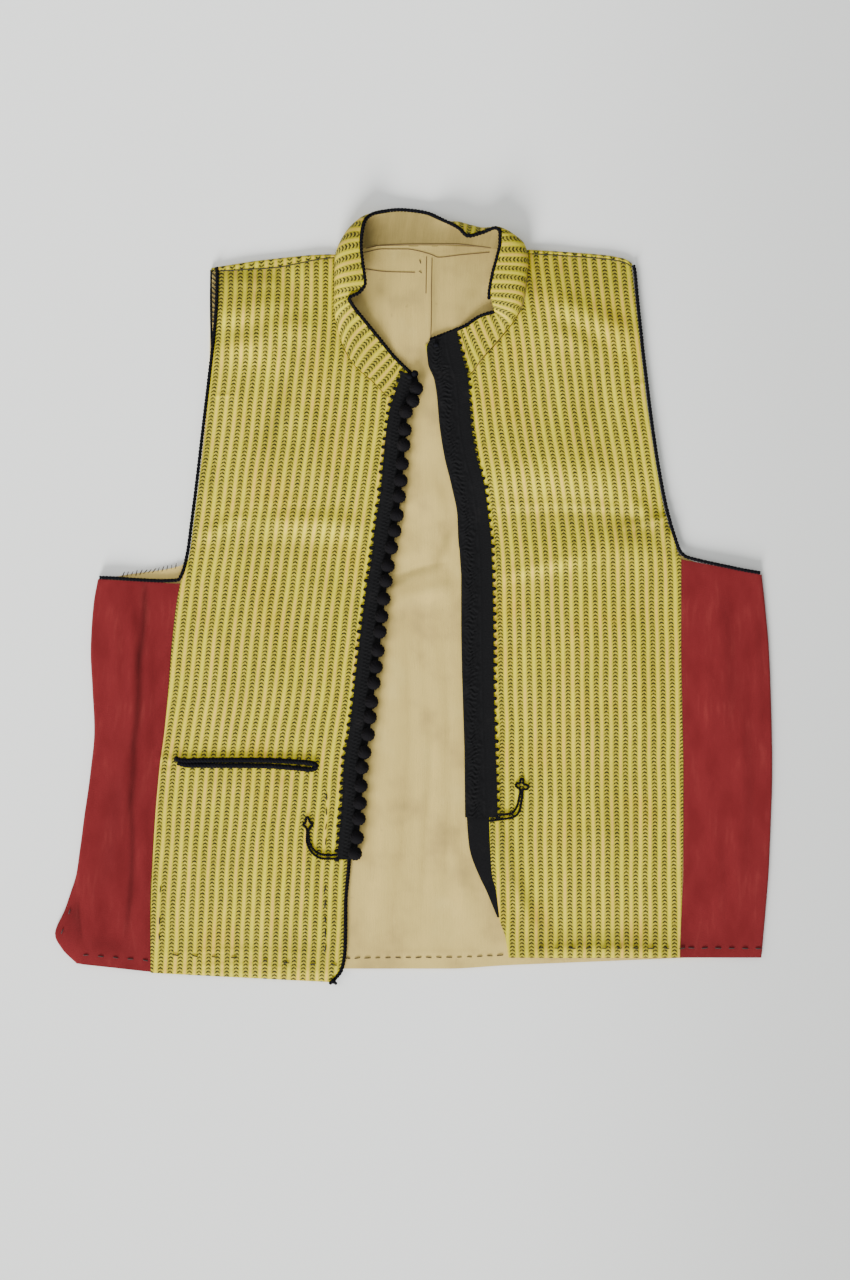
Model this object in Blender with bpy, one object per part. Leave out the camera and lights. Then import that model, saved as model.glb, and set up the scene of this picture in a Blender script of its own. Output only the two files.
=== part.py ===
"""A sleeveless folk waistcoat, laid open on its back.

The garment lies flat: the back is underneath, its lining on it, then the two
red side panels, each folded round one side, then the two striped fronts. The
collar stands and leans round the neck. +X is the garment's left side, +Y runs
from the hem to the neck and +Z is up. The origin is on the table, in the
middle of the garment's outline. Sizes and places are in millimetres and become
metres where a mesh is made.
"""

import math
from collections import namedtuple

import bmesh
import bpy
import numpy as np

METRES = 0.001

# Thickness of one cloth wall, and the gap left between pieces.
WALL = 1.1
GAP = 0.3

# Heights of the middle of each layer over the table.
BACK_LEVEL = WALL / 2
LINING_LEVEL = BACK_LEVEL + WALL + GAP
TOP_LEVEL = LINING_LEVEL + WALL + GAP
BAND_LEVEL = TOP_LEVEL + WALL + GAP
FOLD_RADIUS = (TOP_LEVEL - BACK_LEVEL) / 2

# Trimmings.
BUTTON_RADIUS = 4.8
BUTTON_COUNT = 29
BUTTON_FIRST_AT = 13.5
BUTTON_TOP_PITCH = 9.9
BUTTONS_CLOSE_SET = 2
BUTTON_PITCH = 12.95
BUTTON_WANDER = 0.8
BUTTON_WANDER_RATE = 2.3
BUTTON_REACH = 4.7
BUTTON_CLEARANCE = 0.4
EDGE_CORD_RADIUS = 1.1
POCKET_CORD_RADIUS = 1.3
LOOP_CORD_RADIUS = 0.65
# Height of the middle of a cord that lies beside an edge, over the middle of the cloth.
CORD_BESIDE_RISE = 0.65
# The worked part of each band is thicker than the cloth, in steps across it.
BAND_COLUMNS = (0, 0.08, 0.36, 0.64, 0.72, 1)
BAND_RIGHT_RELIEF = (0, 0.3, 0.3, 0.3, 0.3, 0)
BAND_LEFT_RELIEF = (0, 0.9, 0.9, 0.9, 0, 0)

# Seams that only the underside shows, between the back and the side panels.
UNDER_SEAM_RIGHT_X = -203.0
UNDER_SEAM_LEFT_X = 228.0
SHOULDER_SEAM_DROP = 4.6
SHOULDER_SEAM_GAP = 0.7
HEM_DROOP = 1.6
HEM_DROOP_FROM_Y = -284.0
HEM_DROOP_LENGTH = 9.0

# Greatest distance between two sections of a panel, of the back and of a cord.
PANEL_STEP = 30.0
BACK_STEP = 60.0
CORD_STEP = 9.0
# How far into a side fold its flat part begins.
FOLD_LEAD = 1.6
# How much lower a pressed corner of a fold is than the cloth beside it.
FOLD_PRESS = 1.0
FOLD_TURNS = (0, 36, 72, 108, 144, 180)
SHOULDER_TURNS = (0, 45, 90, 135, 180)

Row = namedtuple("Row", "left_x left_y right_x right_y")
SideRow = namedtuple("SideRow", "seam_x seam_y crease_x fold_x fold_y under_y drop")
Station = namedtuple("Station", "root belly edge cord_lift", defaults=(0,))
Swell = namedtuple("Swell", "x y half_width half_length rise")

# The soft rises of the top layers, as bells.
SWELLS = (
    Swell(-118, 125, 42, 70, 2.6),
    Swell(-122, -62, 46, 80, 3.2),
    Swell(-112, -215, 44, 42, 1.6),
    Swell(120, 132, 38, 66, 2.6),
    Swell(132, -52, 46, 84, 3.2),
    Swell(138, -208, 40, 44, 1.8),
    Swell(-100, 57, 62, 8, 1.1),
    Swell(122, 62, 62, 8, 1.3),
    Swell(-74, 228, 14, 34, 1.6),
    Swell(102, 226, 16, 34, 1.8),
    Swell(-219, -90, 17, 90, 2.6),
    Swell(-243, -242, 9, 26, 1.6),
    Swell(238, -95, 22, 100, 2.8),
)

# Where the cloth turns over at the shoulders, right and left.
SHOULDER_RIGHT = ((-153, 249.5), (-113, 255.5), (-70, 259.5), (-58, 259.8))
SHOULDER_LEFT = ((85, 263.5), (142, 259.5), (160, 256.5), (169, 250.5))
# The cut edge of the back and its lining at the neck.
BACK_NECK = (
    (-57, 255.5), (-50, 260.0), (-42, 262.0), (-29, 264.0), (5, 264.6),
    (39, 264.0), (60, 262.4), (75, 261.4), (84, 257.0),
)

FRONT_RIGHT_ROWS = (
    Row(-147.5, 245.5, -60.2, 254.6),
    Row(-148.5, 229.0, -60.2, 231.0),
    Row(-149.5, 214.0, -59.7, 214.5),
    Row(-150.5, 203.5, -57.6, 203.5),
    Row(-151.2, 188.0, -52.6, 188.0),
    Row(-152.2, 176.0, -44.8, 175.2),
    Row(-153.5, 164.5, -31.8, 163.6),
    Row(-155.0, 153.5, -19.8, 152.0),
    Row(-155.8, 147.0, -8.0, 147.0),
    Row(-158.0, 125.0, -11.8, 125.0),
    Row(-162.0, 89.0, -15.0, 88.5),
    Row(-166.0, 58.0, -18.4, 58.0),
    Row(-169.5, 32.0, -23.6, 31.5),
    Row(-173.5, 17.0, -25.6, 17.0),
    Row(-176.2, 10.0, -26.6, 10.0),
    Row(-179.2, -6.5, -29.0, -6.5),
    Row(-182.3, -33.0, -31.6, -33.0),
    Row(-185.3, -71.0, -36.0, -71.0),
    Row(-188.3, -101.5, -39.5, -101.5),
    Row(-192.3, -132.0, -44.6, -132.0),
    Row(-195.3, -166.0, -46.6, -166.0),
    Row(-197.3, -200.5, -50.0, -200.5),
    Row(-198.8, -238.5, -52.6, -238.5),
    Row(-199.0, -268.0, -53.0, -268.0),
    Row(-199.0, -279.0, -55.5, -283.0),
    Row(-199.0, -285.5, -64.0, -293.0),
)

FRONT_LEFT_ROWS = (
    Row(87.8, 258.8, 166.0, 246.5),
    Row(86.8, 240.5, 168.3, 229.0),
    Row(84.8, 225.0, 169.8, 214.0),
    Row(78.8, 211.0, 171.0, 203.0),
    Row(71.4, 201.4, 172.0, 193.0),
    Row(62.0, 190.0, 173.0, 182.0),
    Row(52.0, 179.0, 174.3, 172.0),
    Row(43.4, 168.0, 175.6, 161.0),
    Row(27.0, 161.4, 176.8, 150.0),
    Row(28.5, 125.0, 181.0, 119.0),
    Row(35.0, 89.0, 186.0, 88.5),
    Row(41.0, 58.0, 192.5, 58.0),
    Row(43.0, 36.0, 200.6, 34.5),
    Row(43.4, 27.0, 203.2, 27.0),
    Row(44.5, 0.0, 203.2, -2.5),
    Row(46.5, -45.0, 203.2, -45.0),
    Row(49.0, -90.0, 203.8, -90.0),
    Row(53.0, -125.0, 204.8, -125.0),
    Row(57.5, -160.0, 204.8, -160.0),
    Row(58.5, -189.0, 204.6, -190.0),
    Row(60.0, -211.5, 204.0, -212.0),
    Row(63.0, -223.0, 203.8, -225.0),
    Row(66.0, -246.0, 203.0, -247.0),
    Row(70.0, -258.0, 202.6, -260.0),
    Row(72.5, -274.0, 202.2, -274.0),
)

# The black facing under the left front's edge, shown below the band.
FACING_ROWS = (
    Row(19.5, 156.0, 26.7, 156.0),
    Row(21.5, 125.0, 28.2, 125.0),
    Row(28.5, 89.0, 34.7, 89.0),
    Row(34.3, 58.0, 40.7, 58.0),
    Row(35.5, 31.5, 42.8, 31.5),
    Row(37.3, 0.0, 44.2, 0.0),
    Row(37.8, -45.0, 46.2, -45.0),
    Row(39.3, -90.0, 48.7, -90.0),
    Row(39.8, -125.0, 52.7, -125.0),
    Row(40.5, -160.0, 57.2, -160.0),
    Row(42.5, -189.0, 58.2, -189.0),
    Row(50.0, -211.5, 59.7, -211.5),
    Row(55.5, -223.0, 62.7, -223.0),
    Row(64.0, -243.5, 65.4, -243.5),
)

BAND_RIGHT_ROWS = (
    Row(-9.4, 168.0, -5.0, 168.6),
    Row(-11.2, 162.0, -1.6, 162.0),
    Row(-14.6, 151.0, -4.2, 150.0),
    Row(-17.8, 141.0, -9.8, 141.0),
    Row(-20.2, 126.0, -10.8, 126.0),
    Row(-22.4, 104.0, -12.6, 104.0),
    Row(-24.6, 78.0, -14.9, 78.0),
    Row(-28.8, 52.0, -18.2, 52.0),
    Row(-31.6, 27.0, -23.0, 27.0),
    Row(-35.9, 2.0, -26.4, 2.0),
    Row(-39.4, -25.0, -29.5, -25.0),
    Row(-42.5, -50.0, -32.3, -50.0),
    Row(-45.4, -78.0, -35.9, -78.0),
    Row(-48.4, -103.0, -38.5, -103.0),
    Row(-52.6, -129.0, -43.2, -129.0),
    Row(-53.6, -154.0, -44.6, -154.0),
    Row(-55.5, -177.0, -46.4, -177.0),
    Row(-57.6, -199.5, -49.0, -199.5),
)

BAND_LEFT_ROWS = (
    Row(15.5, 192.2, 30.4, 198.2),
    Row(11.4, 188.0, 33.0, 192.0),
    Row(11.5, 176.0, 38.0, 177.0),
    Row(16.0, 164.5, 41.0, 164.5),
    Row(18.0, 153.0, 42.0, 150.0),
    Row(20.0, 130.5, 43.2, 130.5),
    Row(23.5, 107.5, 47.0, 107.5),
    Row(29.0, 84.5, 53.4, 83.0),
    Row(33.5, 62.0, 56.2, 62.0),
    Row(34.4, 42.0, 58.5, 42.0),
    Row(36.5, 22.0, 59.2, 22.0),
    Row(36.5, -18.0, 60.2, -18.0),
    Row(37.0, -52.0, 60.4, -52.0),
    Row(38.0, -86.5, 60.8, -86.5),
    Row(39.0, -120.5, 62.0, -120.5),
    Row(39.2, -143.5, 63.0, -143.5),
    Row(39.5, -167.5, 63.4, -167.5),
)

SIDE_RIGHT_ROWS = (
    SideRow(-176.7, 9.6, -235.0, -239.0, 13.0, 18.0, 0),
    SideRow(-179.6, -6.5, -238.5, -242.5, -6.5, -4.0, 0),
    SideRow(-183.4, -40.5, -240.5, -244.5, -40.5, -40.5, 0),
    SideRow(-185.7, -71.0, -239.0, -243.0, -71.0, -71.0, 0),
    SideRow(-188.7, -101.5, -237.5, -241.5, -101.5, -101.5, 0),
    SideRow(-192.7, -132.0, -240.5, -244.5, -132.0, -132.0, 0),
    SideRow(-195.7, -166.0, -245.5, -249.5, -166.0, -166.0, 0),
    SideRow(-197.3, -189.0, -248.5, -252.5, -189.0, -189.0, 0),
    SideRow(-198.6, -212.0, -252.0, -256.0, -212.0, -212.0, 0.2),
    SideRow(-199.2, -222.0, -254.0, -259.5, -222.0, -222.0, 0.9),
    SideRow(-199.4, -238.0, -253.5, -265.0, -238.0, -237.0, 1),
    SideRow(-199.4, -256.0, -251.5, -272.5, -256.0, -255.0, 1),
    SideRow(-199.4, -268.0, -250.5, -267.0, -267.5, -267.0, 1),
    SideRow(-199.6, -284.5, -250.0, -256.0, -278.5, -281.5, 1),
)

SIDE_LEFT_ROWS = (
    SideRow(203.6, 28.0, 260.5, 264.5, 16.5, 22.0, 0),
    SideRow(203.6, -6.5, 263.0, 267.0, -6.5, -5.0, 0),
    SideRow(203.6, -40.5, 266.0, 270.0, -40.5, -40.5, 0),
    SideRow(204.2, -78.5, 267.5, 271.5, -78.5, -78.5, 0),
    SideRow(205.2, -132.0, 268.5, 272.5, -132.0, -132.0, 0),
    SideRow(205.2, -173.5, 267.5, 271.5, -173.5, -173.5, 0),
    SideRow(205.0, -208.0, 266.0, 270.0, -208.0, -208.0, 0),
    SideRow(203.8, -240.0, 263.5, 267.5, -240.0, -240.0, 0),
    SideRow(202.6, -274.0, 260.5, 264.5, -274.0, -274.0, 0),
)

# Shared by the back and its lining: the armholes from their foot to the shoulder.
ARMHOLE_ROWS = (
    Row(-165.0, 37.0, 193.0, 43.0),
    Row(-158.0, 65.5, 184.0, 65.5),
    Row(-154.8, 111.5, 176.0, 111.5),
    Row(-154.6, 164.5, 172.0, 164.5),
    Row(-154.0, 205.0, 168.5, 205.0),
    Row(-153.4, 235.0, 166.5, 235.0),
)

BACK_ROWS = (
    Row(-202.7, -281.0, 227.7, -273.0),
    Row(-202.7, -200.0, 227.7, -200.0),
    Row(-202.7, -100.0, 227.7, -100.0),
    Row(-202.7, -20.0, 227.7, -20.0),
    Row(-202.7, 12.0, 227.7, 16.0),
    Row(-200.0, 18.0, 226.0, 21.0),
    Row(-188.0, 20.0, 214.0, 25.5),
    Row(-173.0, 24.7, 202.0, 31.5),
) + ARMHOLE_ROWS

LINING_ROWS = (
    Row(-245.0, -279.0, 259.0, -273.0),
    Row(-246.0, -260.0, 261.0, -250.0),
    Row(-245.5, -200.0, 264.5, -200.0),
    Row(-239.0, -132.0, 266.5, -132.0),
    Row(-237.0, -100.0, 266.5, -90.0),
    Row(-239.0, -40.0, 264.5, -40.0),
    Row(-237.5, -8.0, 262.0, -8.0),
    Row(-234.5, 11.0, 259.5, 14.0),
    Row(-222.5, 15.5, 246.0, 18.0),
    Row(-200.0, 18.8, 226.0, 22.0),
    Row(-188.0, 20.5, 214.0, 26.0),
    Row(-173.0, 25.0, 202.0, 32.0),
) + ARMHOLE_ROWS

# The hem of the lining bows down in the middle.
LINING_HEM = (
    (-245, -279), (-150, -281.5), (-50, -282.5), (28, -282.5), (70, -280), (142, -277), (259, -272),
)

# Columns of the back and its lining, at the shoulders and the neck.
BACK_COLUMNS = (
    -153, -121, -90, -60.4, -57, -50, -42, -29, 5, 39, 60, 75, 84, 88.4, 115, 142, 153, 160, 166,
)
NECK_COLUMNS = slice(4, 13)

# Sections of the collar from the right front's edge, round the neck, to the left front's edge.
COLLAR = (
    Station((-4.5, 148, 2.65), (-1.5, 157.5, 2.7), (1, 167, 2.8)),
    Station((-19, 152.5, 2.7), (-12, 161.5, 2.8), (-5.5, 173, 2.9)),
    Station((-31, 164, 3.3), (-23.5, 172, 3.7), (-14.5, 182, 4.3)),
    Station((-44, 175, 4.1), (-36.5, 186.5, 5.2), (-26.5, 196.5, 6)),
    Station((-51.5, 188, 4.1), (-46.5, 199.5, 6.8), (-36.5, 208.5, 8)),
    Station((-56, 202.5, 3.9), (-54.5, 211, 9.5), (-45.5, 219.5, 12)),
    Station((-58, 214.5, 3.5), (-57.5, 218.5, 11.5), (-48, 224, 14.5), 2.8),
    Station((-58.5, 223, 3.3), (-55.5, 225.5, 13.5), (-40, 229, 12.5), 2.8),
    Station((-58.5, 231.5, 3.3), (-54, 234, 16), (-36, 236.5, 15)),
    Station((-58.5, 244.5, 3.3), (-54, 247.5, 17), (-38, 252, 17)),
    Station((-58, 254, 3.3), (-54.5, 260, 16), (-39, 264, 18)),
    Station((-52.5, 261.8, 3.1), (-48, 277, 11), (-37, 279.5, 17)),
    Station((-42.5, 263.8, 1.9), (-37, 283.5, 7), (-32.5, 287, 13)),
    Station((-29.5, 265.2, 1.25), (-27.5, 282.5, 3.2), (-25, 290.5, 9)),
    Station((-13, 265.6, 1.25), (-12, 280, 2.2), (-10, 293, 5)),
    Station((5.5, 265.6, 1.25), (7, 280, 2.2), (9, 291, 4.5)),
    Station((19, 265.6, 1.25), (21, 279.5, 3.6), (23, 284, 10), 0.4),
    Station((29.5, 265.4, 1.25), (32.5, 282, 5), (34.5, 277.5, 13), 0.4),
    Station((39, 265.2, 1.25), (43.5, 280, 6), (42, 271, 15.5)),
    Station((49.5, 264.6, 1.25), (52.5, 277, 7), (52.5, 274, 14)),
    Station((60, 264, 1.9), (64, 275.5, 9), (61.5, 277, 17)),
    Station((72, 264, 2.7), (74.5, 272.5, 12), (65.5, 274, 18)),
    Station((83, 262.5, 3.1), (81.5, 265.5, 15), (65.5, 265.5, 17)),
    Station((86, 254, 3.3), (82, 254, 16), (63, 254, 16)),
    Station((85, 240.5, 3.3), (80, 242, 16), (60, 243, 15)),
    Station((83, 225.5, 3.3), (77, 227, 15), (57.5, 228.5, 13)),
    Station((77, 211.5, 3.9), (72, 214.5, 11), (59.5, 219.5, 11)),
    Station((70, 202, 4.1), (67, 208.5, 7), (61.5, 215.5, 6.5), 1.0),
    Station((61, 190.5, 4.1), (55.5, 202.5, 5.6), (51.5, 212.5, 6.2)),
    Station((51, 179.5, 3.4), (45, 192, 4.2), (39.5, 205, 5)),
    Station((42.5, 168.5, 2.7), (37, 184.5, 2.8), (32, 202, 2.9)),
    Station((19, 161.5, 2.65), (13, 175, 2.7), (9, 192, 2.8)),
)
COLLAR_LINED = slice(3, 29)
COLLAR_RINGS = 7
COLLAR_CORD_ROOM = 2.2
COLLAR_GAP = 0.3

# Routes of the sewn-on cords, in plan.
ARMHOLE_RIGHT_CORD = (
    (-149.8, 243.4), (-150.6, 222.0), (-152.2, 199.0), (-154.8, 167.0), (-159.4, 126.0),
    (-163.6, 89.5), (-167.6, 58.5), (-171.2, 32.0), (-175.4, 16.4), (-178.5, 12.4),
    (-192.0, 12.6), (-212.0, 13.6), (-226.0, 15.0), (-237.5, 15.2),
)
ARMHOLE_LEFT_CORD = (
    (168.2, 247.0), (170.2, 225.5), (172.6, 202.5), (174.2, 187.5), (177.2, 163.0),
    (182.8, 119.0), (187.8, 88.5), (194.4, 58.0), (202.4, 34.4), (206.0, 30.6),
    (219.0, 27.6), (236.0, 23.8), (250.0, 20.9), (263.0, 18.4),
)
FRONT_EDGE_CORD = (
    (-48.4, -203.0), (-49.2, -211.5), (-51.0, -232.0), (-51.2, -255.0), (-51.6, -268.5),
    (-54.0, -283.0), (-59.5, -290.5),
)
POCKET_CORD = (
    (-178.5, -125.4), (-171.0, -123.4), (-158.0, -122.5), (-116.5, -122.5), (-90.0, -123.6),
    (-75.5, -125.2), (-72.2, -128.4), (-76.0, -131.6), (-90.0, -130.6), (-112.5, -129.2),
    (-150.0, -128.8), (-170.0, -129.0), (-176.5, -129.6),
)
LOOP_RIGHT_CORD = (
    (-59.4, -195.8), (-65.5, -196.0), (-71.0, -194.6), (-75.0, -191.0), (-77.6, -186.6),
    (-78.6, -181.8), (-78.6, -177.4), (-76.2, -173.2), (-79.4, -169.6), (-83.0, -172.6),
    (-80.9, -177.6), (-81.0, -182.4), (-80.0, -187.6), (-77.0, -192.6), (-72.4, -196.6),
    (-66.5, -199.0), (-60.5, -199.4),
)
LOOP_LEFT_CORD = (
    (65.2, -164.8), (70.5, -164.8), (75.0, -163.8), (78.0, -160.2), (79.6, -155.0),
    (80.4, -150.0), (78.6, -145.6), (82.2, -141.6), (85.6, -145.6), (82.8, -150.0),
    (82.2, -155.2), (80.8, -161.0), (77.4, -165.6), (73.0, -168.0), (65.2, -168.4),
)

# Surface colours as red, green and blue from 0 to 255, and roughness.
STRIPED_YELLOW = ("Striped yellow twill", (184, 172, 92), 0.62)
BRICK_RED = ("Red plain weave", (142, 48, 46), 0.85)
LINING_BEIGE = ("Beige lining cotton", (203, 186, 146), 0.88)
BAND_BLACK = ("Black trimming band", (30, 30, 32), 0.78)
CORD_BLACK = ("Black wool cord", (27, 27, 31), 0.82)


def clear_scene():
    for thing in list(bpy.data.objects):
        bpy.data.objects.remove(thing, do_unlink=True)


def linear(channel):
    value = channel / 255
    return value / 12.92 if value <= 0.04045 else ((value + 0.055) / 1.055) ** 2.4


def material(finish):
    name, colour, roughness = finish
    found = bpy.data.materials.get(name)
    if found:
        return found
    made = bpy.data.materials.new(name)
    made.use_nodes = True
    shader = made.node_tree.nodes["Principled BSDF"]
    shader.inputs["Base Color"].default_value = (*map(linear, colour), 1)
    shader.inputs["Roughness"].default_value = roughness
    shader.inputs["Metallic"].default_value = 0
    return made


def fair(places, values, at):
    """Values between the given ones on a smooth curve that never passes them."""
    places = np.asarray(places, float)
    values = np.asarray(values, float)
    steps = np.diff(places)
    slopes = np.diff(values) / steps
    before, after = slopes[:-1], slopes[1:]
    same_way = before * after > 0
    mean = np.zeros(len(before))
    mean[same_way] = 2 * before[same_way] * after[same_way] / (before + after)[same_way]
    tangents = np.concatenate([slopes[:1], mean, slopes[-1:]])
    cell = np.clip(np.searchsorted(places, at, side="right") - 1, 0, len(steps) - 1)
    part = np.clip((at - places[cell]) / steps[cell], 0, 1)
    start, end = values[cell], values[cell + 1]
    pull = tangents[cell] * steps[cell], tangents[cell + 1] * steps[cell]
    cube, square = part**3, part**2
    return (
        (2 * cube - 3 * square + 1) * start
        + (cube - 2 * square + part) * pull[0]
        + (3 * square - 2 * cube) * end
        + (cube - square) * pull[1]
    )


def bell(x, y, swell):
    across = (x - swell.x) / swell.half_width
    down = (y - swell.y) / swell.half_length
    return swell.rise * np.exp(-(across**2) - down**2)


def smooth_step(value):
    part = np.clip(value, 0, 1)
    return part * part * (3 - 2 * part)


def top_height(x, y):
    """Height of the middle of the top layer of cloth."""
    lift = sum(bell(x, y, swell) for swell in SWELLS)
    droop = HEM_DROOP * smooth_step((HEM_DROOP_FROM_Y - y) / HEM_DROOP_LENGTH)
    return TOP_LEVEL + lift - droop


def places_between(rows, step):
    """Row numbers, whole and in between, so that no two sections are further apart than a step."""
    numbers = [0.0]
    for index, (first, second) in enumerate(zip(rows, rows[1:])):
        length = max(abs(a - b) for a, b in zip(first, second))
        count = max(1, math.ceil(length / step))
        numbers += [index + (part + 1) / count for part in range(count)]
    return np.array(numbers)


def ruled(rows, columns, step=PANEL_STEP):
    """Plan of a panel whose sections run straight from its left edge to its right edge."""
    at = places_between(rows, step)
    whole = np.arange(len(rows))
    edges = [fair(whole, column, at)[:, None] for column in zip(*rows)]
    left_x, left_y, right_x, right_y = edges
    across = np.asarray(columns)[None, :]
    return left_x + (right_x - left_x) * across, left_y + (right_y - left_y) * across


def grid(x, y, z):
    return np.stack(np.broadcast_arrays(x, y, z), axis=-1).astype(float)


def normals(points):
    along = np.gradient(points, axis=0)
    across = np.gradient(points, axis=1)
    facing = np.cross(across, along)
    length = np.linalg.norm(facing, axis=2, keepdims=True)
    return facing / np.maximum(length, 1e-9)


def moved_out(points, distance):
    return points + normals(points) * distance


def add_object(name, data, finish):
    data.materials.append(material(finish))
    thing = bpy.data.objects.new(name, data)
    bpy.context.scene.collection.objects.link(thing)
    return thing


def wall_between(name, upper, lower, finish, keep=None):
    """A closed wall of cloth between two grids of points, on the cells that are kept."""
    if keep is None:
        keep = np.ones((upper.shape[0] - 1, upper.shape[1] - 1), bool)
    shape = bmesh.new()
    placed = {}
    uses = {}

    def vertex(side, points, key):
        if (side, key) not in placed:
            placed[side, key] = shape.verts.new(points[key] * METRES)
        return placed[side, key]

    for row, column in zip(*np.nonzero(keep)):
        ring = [(row, column), (row, column + 1), (row + 1, column + 1), (row + 1, column)]
        for corners in (ring[:3], ring[2:] + ring[:1]):
            shape.faces.new([vertex(0, upper, key) for key in corners])
            shape.faces.new([vertex(1, lower, key) for key in reversed(corners)])
        for edge in zip(ring, ring[1:] + ring[:1]):
            uses.setdefault(frozenset(edge), []).append(edge)
    for found in uses.values():
        if len(found) == 1:
            start, end = found[0]
            rim = [
                vertex(0, upper, end), vertex(0, upper, start),
                vertex(1, lower, start), vertex(1, lower, end),
            ]
            shape.faces.new(rim)
    bmesh.ops.recalc_face_normals(shape, faces=shape.faces)
    mesh = bpy.data.meshes.new(name)
    shape.to_mesh(mesh)
    shape.free()
    mesh.shade_smooth()
    mesh.set_sharp_from_angle(angle=math.radians(50))
    return add_object(name, mesh, finish)


def cloth(name, points, finish, keep=None, wall=WALL):
    """A wall of cloth round its middle surface."""
    return wall_between(
        name, moved_out(points, wall / 2), moved_out(points, -wall / 2), finish, keep
    )


def tube(name, route, radius, finish, step=CORD_STEP):
    """A sewn-on cord along a smooth route."""
    route = np.asarray(route, float)
    at = places_between(route, step)
    whole = np.arange(len(route))
    path = np.stack([fair(whole, route[:, axis], at) for axis in range(3)], axis=1)
    curve = bpy.data.curves.new(name, "CURVE")
    curve.dimensions = "3D"
    curve.bevel_depth = radius * METRES
    curve.bevel_resolution = 1
    curve.use_fill_caps = True
    spline = curve.splines.new("POLY")
    spline.points.add(len(path) - 1)
    for point, place in zip(spline.points, path):
        point.co = (*(place * METRES), 1)
    return add_object(name, curve, finish)


def shoulder_fold(x):
    """Where the cloth turns over at each shoulder, as a height up the plan."""
    right = fair(*zip(*SHOULDER_RIGHT), x)
    left = fair(*zip(*SHOULDER_LEFT), x)
    return np.where(x < 0, right, left)


def front(name, rows, columns, finish):
    """One striped front, whose top edge is the shoulder seam."""
    x, y = ruled(rows, columns)
    y[0] = shoulder_fold(x[0]) - SHOULDER_SEAM_DROP
    return cloth(name, grid(x, y, top_height(x, y)), finish)


def side_panel(name, rows, under_x, finish):
    """A side panel folded round the garment's side, from its seam on top to its seam underneath."""
    at = places_between(rows, PANEL_STEP)
    whole = np.arange(len(rows))
    columns = [fair(whole, column, at)[:, None] for column in zip(*rows)]
    seam_x, seam_y, crease_x, fold_x, fold_y, under_y, drop = columns
    inward = np.sign(seam_x - fold_x)
    bend_x = fold_x + inward * (FOLD_RADIUS + WALL / 2)
    crease_x = np.where(drop > 0, crease_x, bend_x + inward * FOLD_LEAD)
    runs = [seam_x + (crease_x - seam_x) * part for part in (0, 0.3, 0.6, 0.85, 1)]
    plan_x = np.hstack(runs)
    plan_y = seam_y + (fold_y - seam_y) * (plan_x - seam_x) / (fold_x - seam_x)
    height = top_height(plan_x, plan_y)
    bend_top = height[:, -1:] - drop * (height[:, -1:] - TOP_LEVEL + FOLD_PRESS)
    turn = np.radians(FOLD_TURNS)[None, :]
    radius = (bend_top - BACK_LEVEL) / 2
    bend = bend_x - inward * radius * np.sin(turn)
    bend_height = BACK_LEVEL + radius * (1 + np.cos(turn))
    under = np.hstack([bend_x + (under_x - bend_x) * part for part in (0.35, 0.7, 1)])
    under_part = (under - bend_x) / (under_x - bend_x)
    x = np.hstack([plan_x, bend, under])
    bend_y = np.repeat(fold_y, len(FOLD_TURNS), axis=1)
    y = np.hstack([plan_y, bend_y, fold_y + (under_y - fold_y) * under_part])
    z = np.hstack([height, bend_height, np.full_like(under, BACK_LEVEL)])
    return cloth(name, grid(x, y, z), finish)


def back_plan(rows, hem=None):
    """Plan of the back from the hem up to the foot of its shoulders, and each column's place at the top."""
    top_x = np.array(BACK_COLUMNS, float)
    across = (top_x - top_x[0]) / (top_x[-1] - top_x[0])
    x, y = ruled(rows, across, BACK_STEP)
    x[-1] = top_x
    if hem is not None:
        y[0] = fair(*zip(*hem), x[0])
    return x, y, top_x


def back_top(top_x, shoulder_rows, neck_level):
    """Rows that end the back or its lining at the neck, and at the shoulders as the given steps say."""
    neck = fair(*zip(*BACK_NECK), np.clip(top_x, BACK_NECK[0][0], BACK_NECK[-1][0]))
    fold = shoulder_fold(top_x)
    steps = len(shoulder_rows)
    y = np.empty((steps, len(top_x)))
    z = np.empty_like(y)
    for index, (drop, height) in enumerate(shoulder_rows):
        y[index] = fold - drop
        z[index] = height(top_x, y[index])
    in_neck = np.zeros(len(top_x), bool)
    in_neck[NECK_COLUMNS] = True
    part = (np.arange(steps)[:, None] + 1) / 2
    low = fold - shoulder_rows[0][0]
    flat = low + (neck - low) * np.clip(part - 0.5, 0, 1)
    y = np.where(in_neck, flat, y)
    z = np.where(in_neck, neck_level, z)
    return y, z, in_neck


def kept_cells(body_rows, top_rows, in_neck):
    """Cells of the back: all of its body, one more row in the neck and every row at the shoulders."""
    both_neck = in_neck[:-1] & in_neck[1:]
    neither = ~in_neck[:-1] & ~in_neck[1:]
    keep = np.ones((body_rows + top_rows - 1, len(in_neck) - 1), bool)
    for row in range(body_rows, body_rows + top_rows - 1):
        last_of_neck = row >= body_rows + 2
        keep[row] = neither | (both_neck & (not last_of_neck))
    return keep


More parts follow.
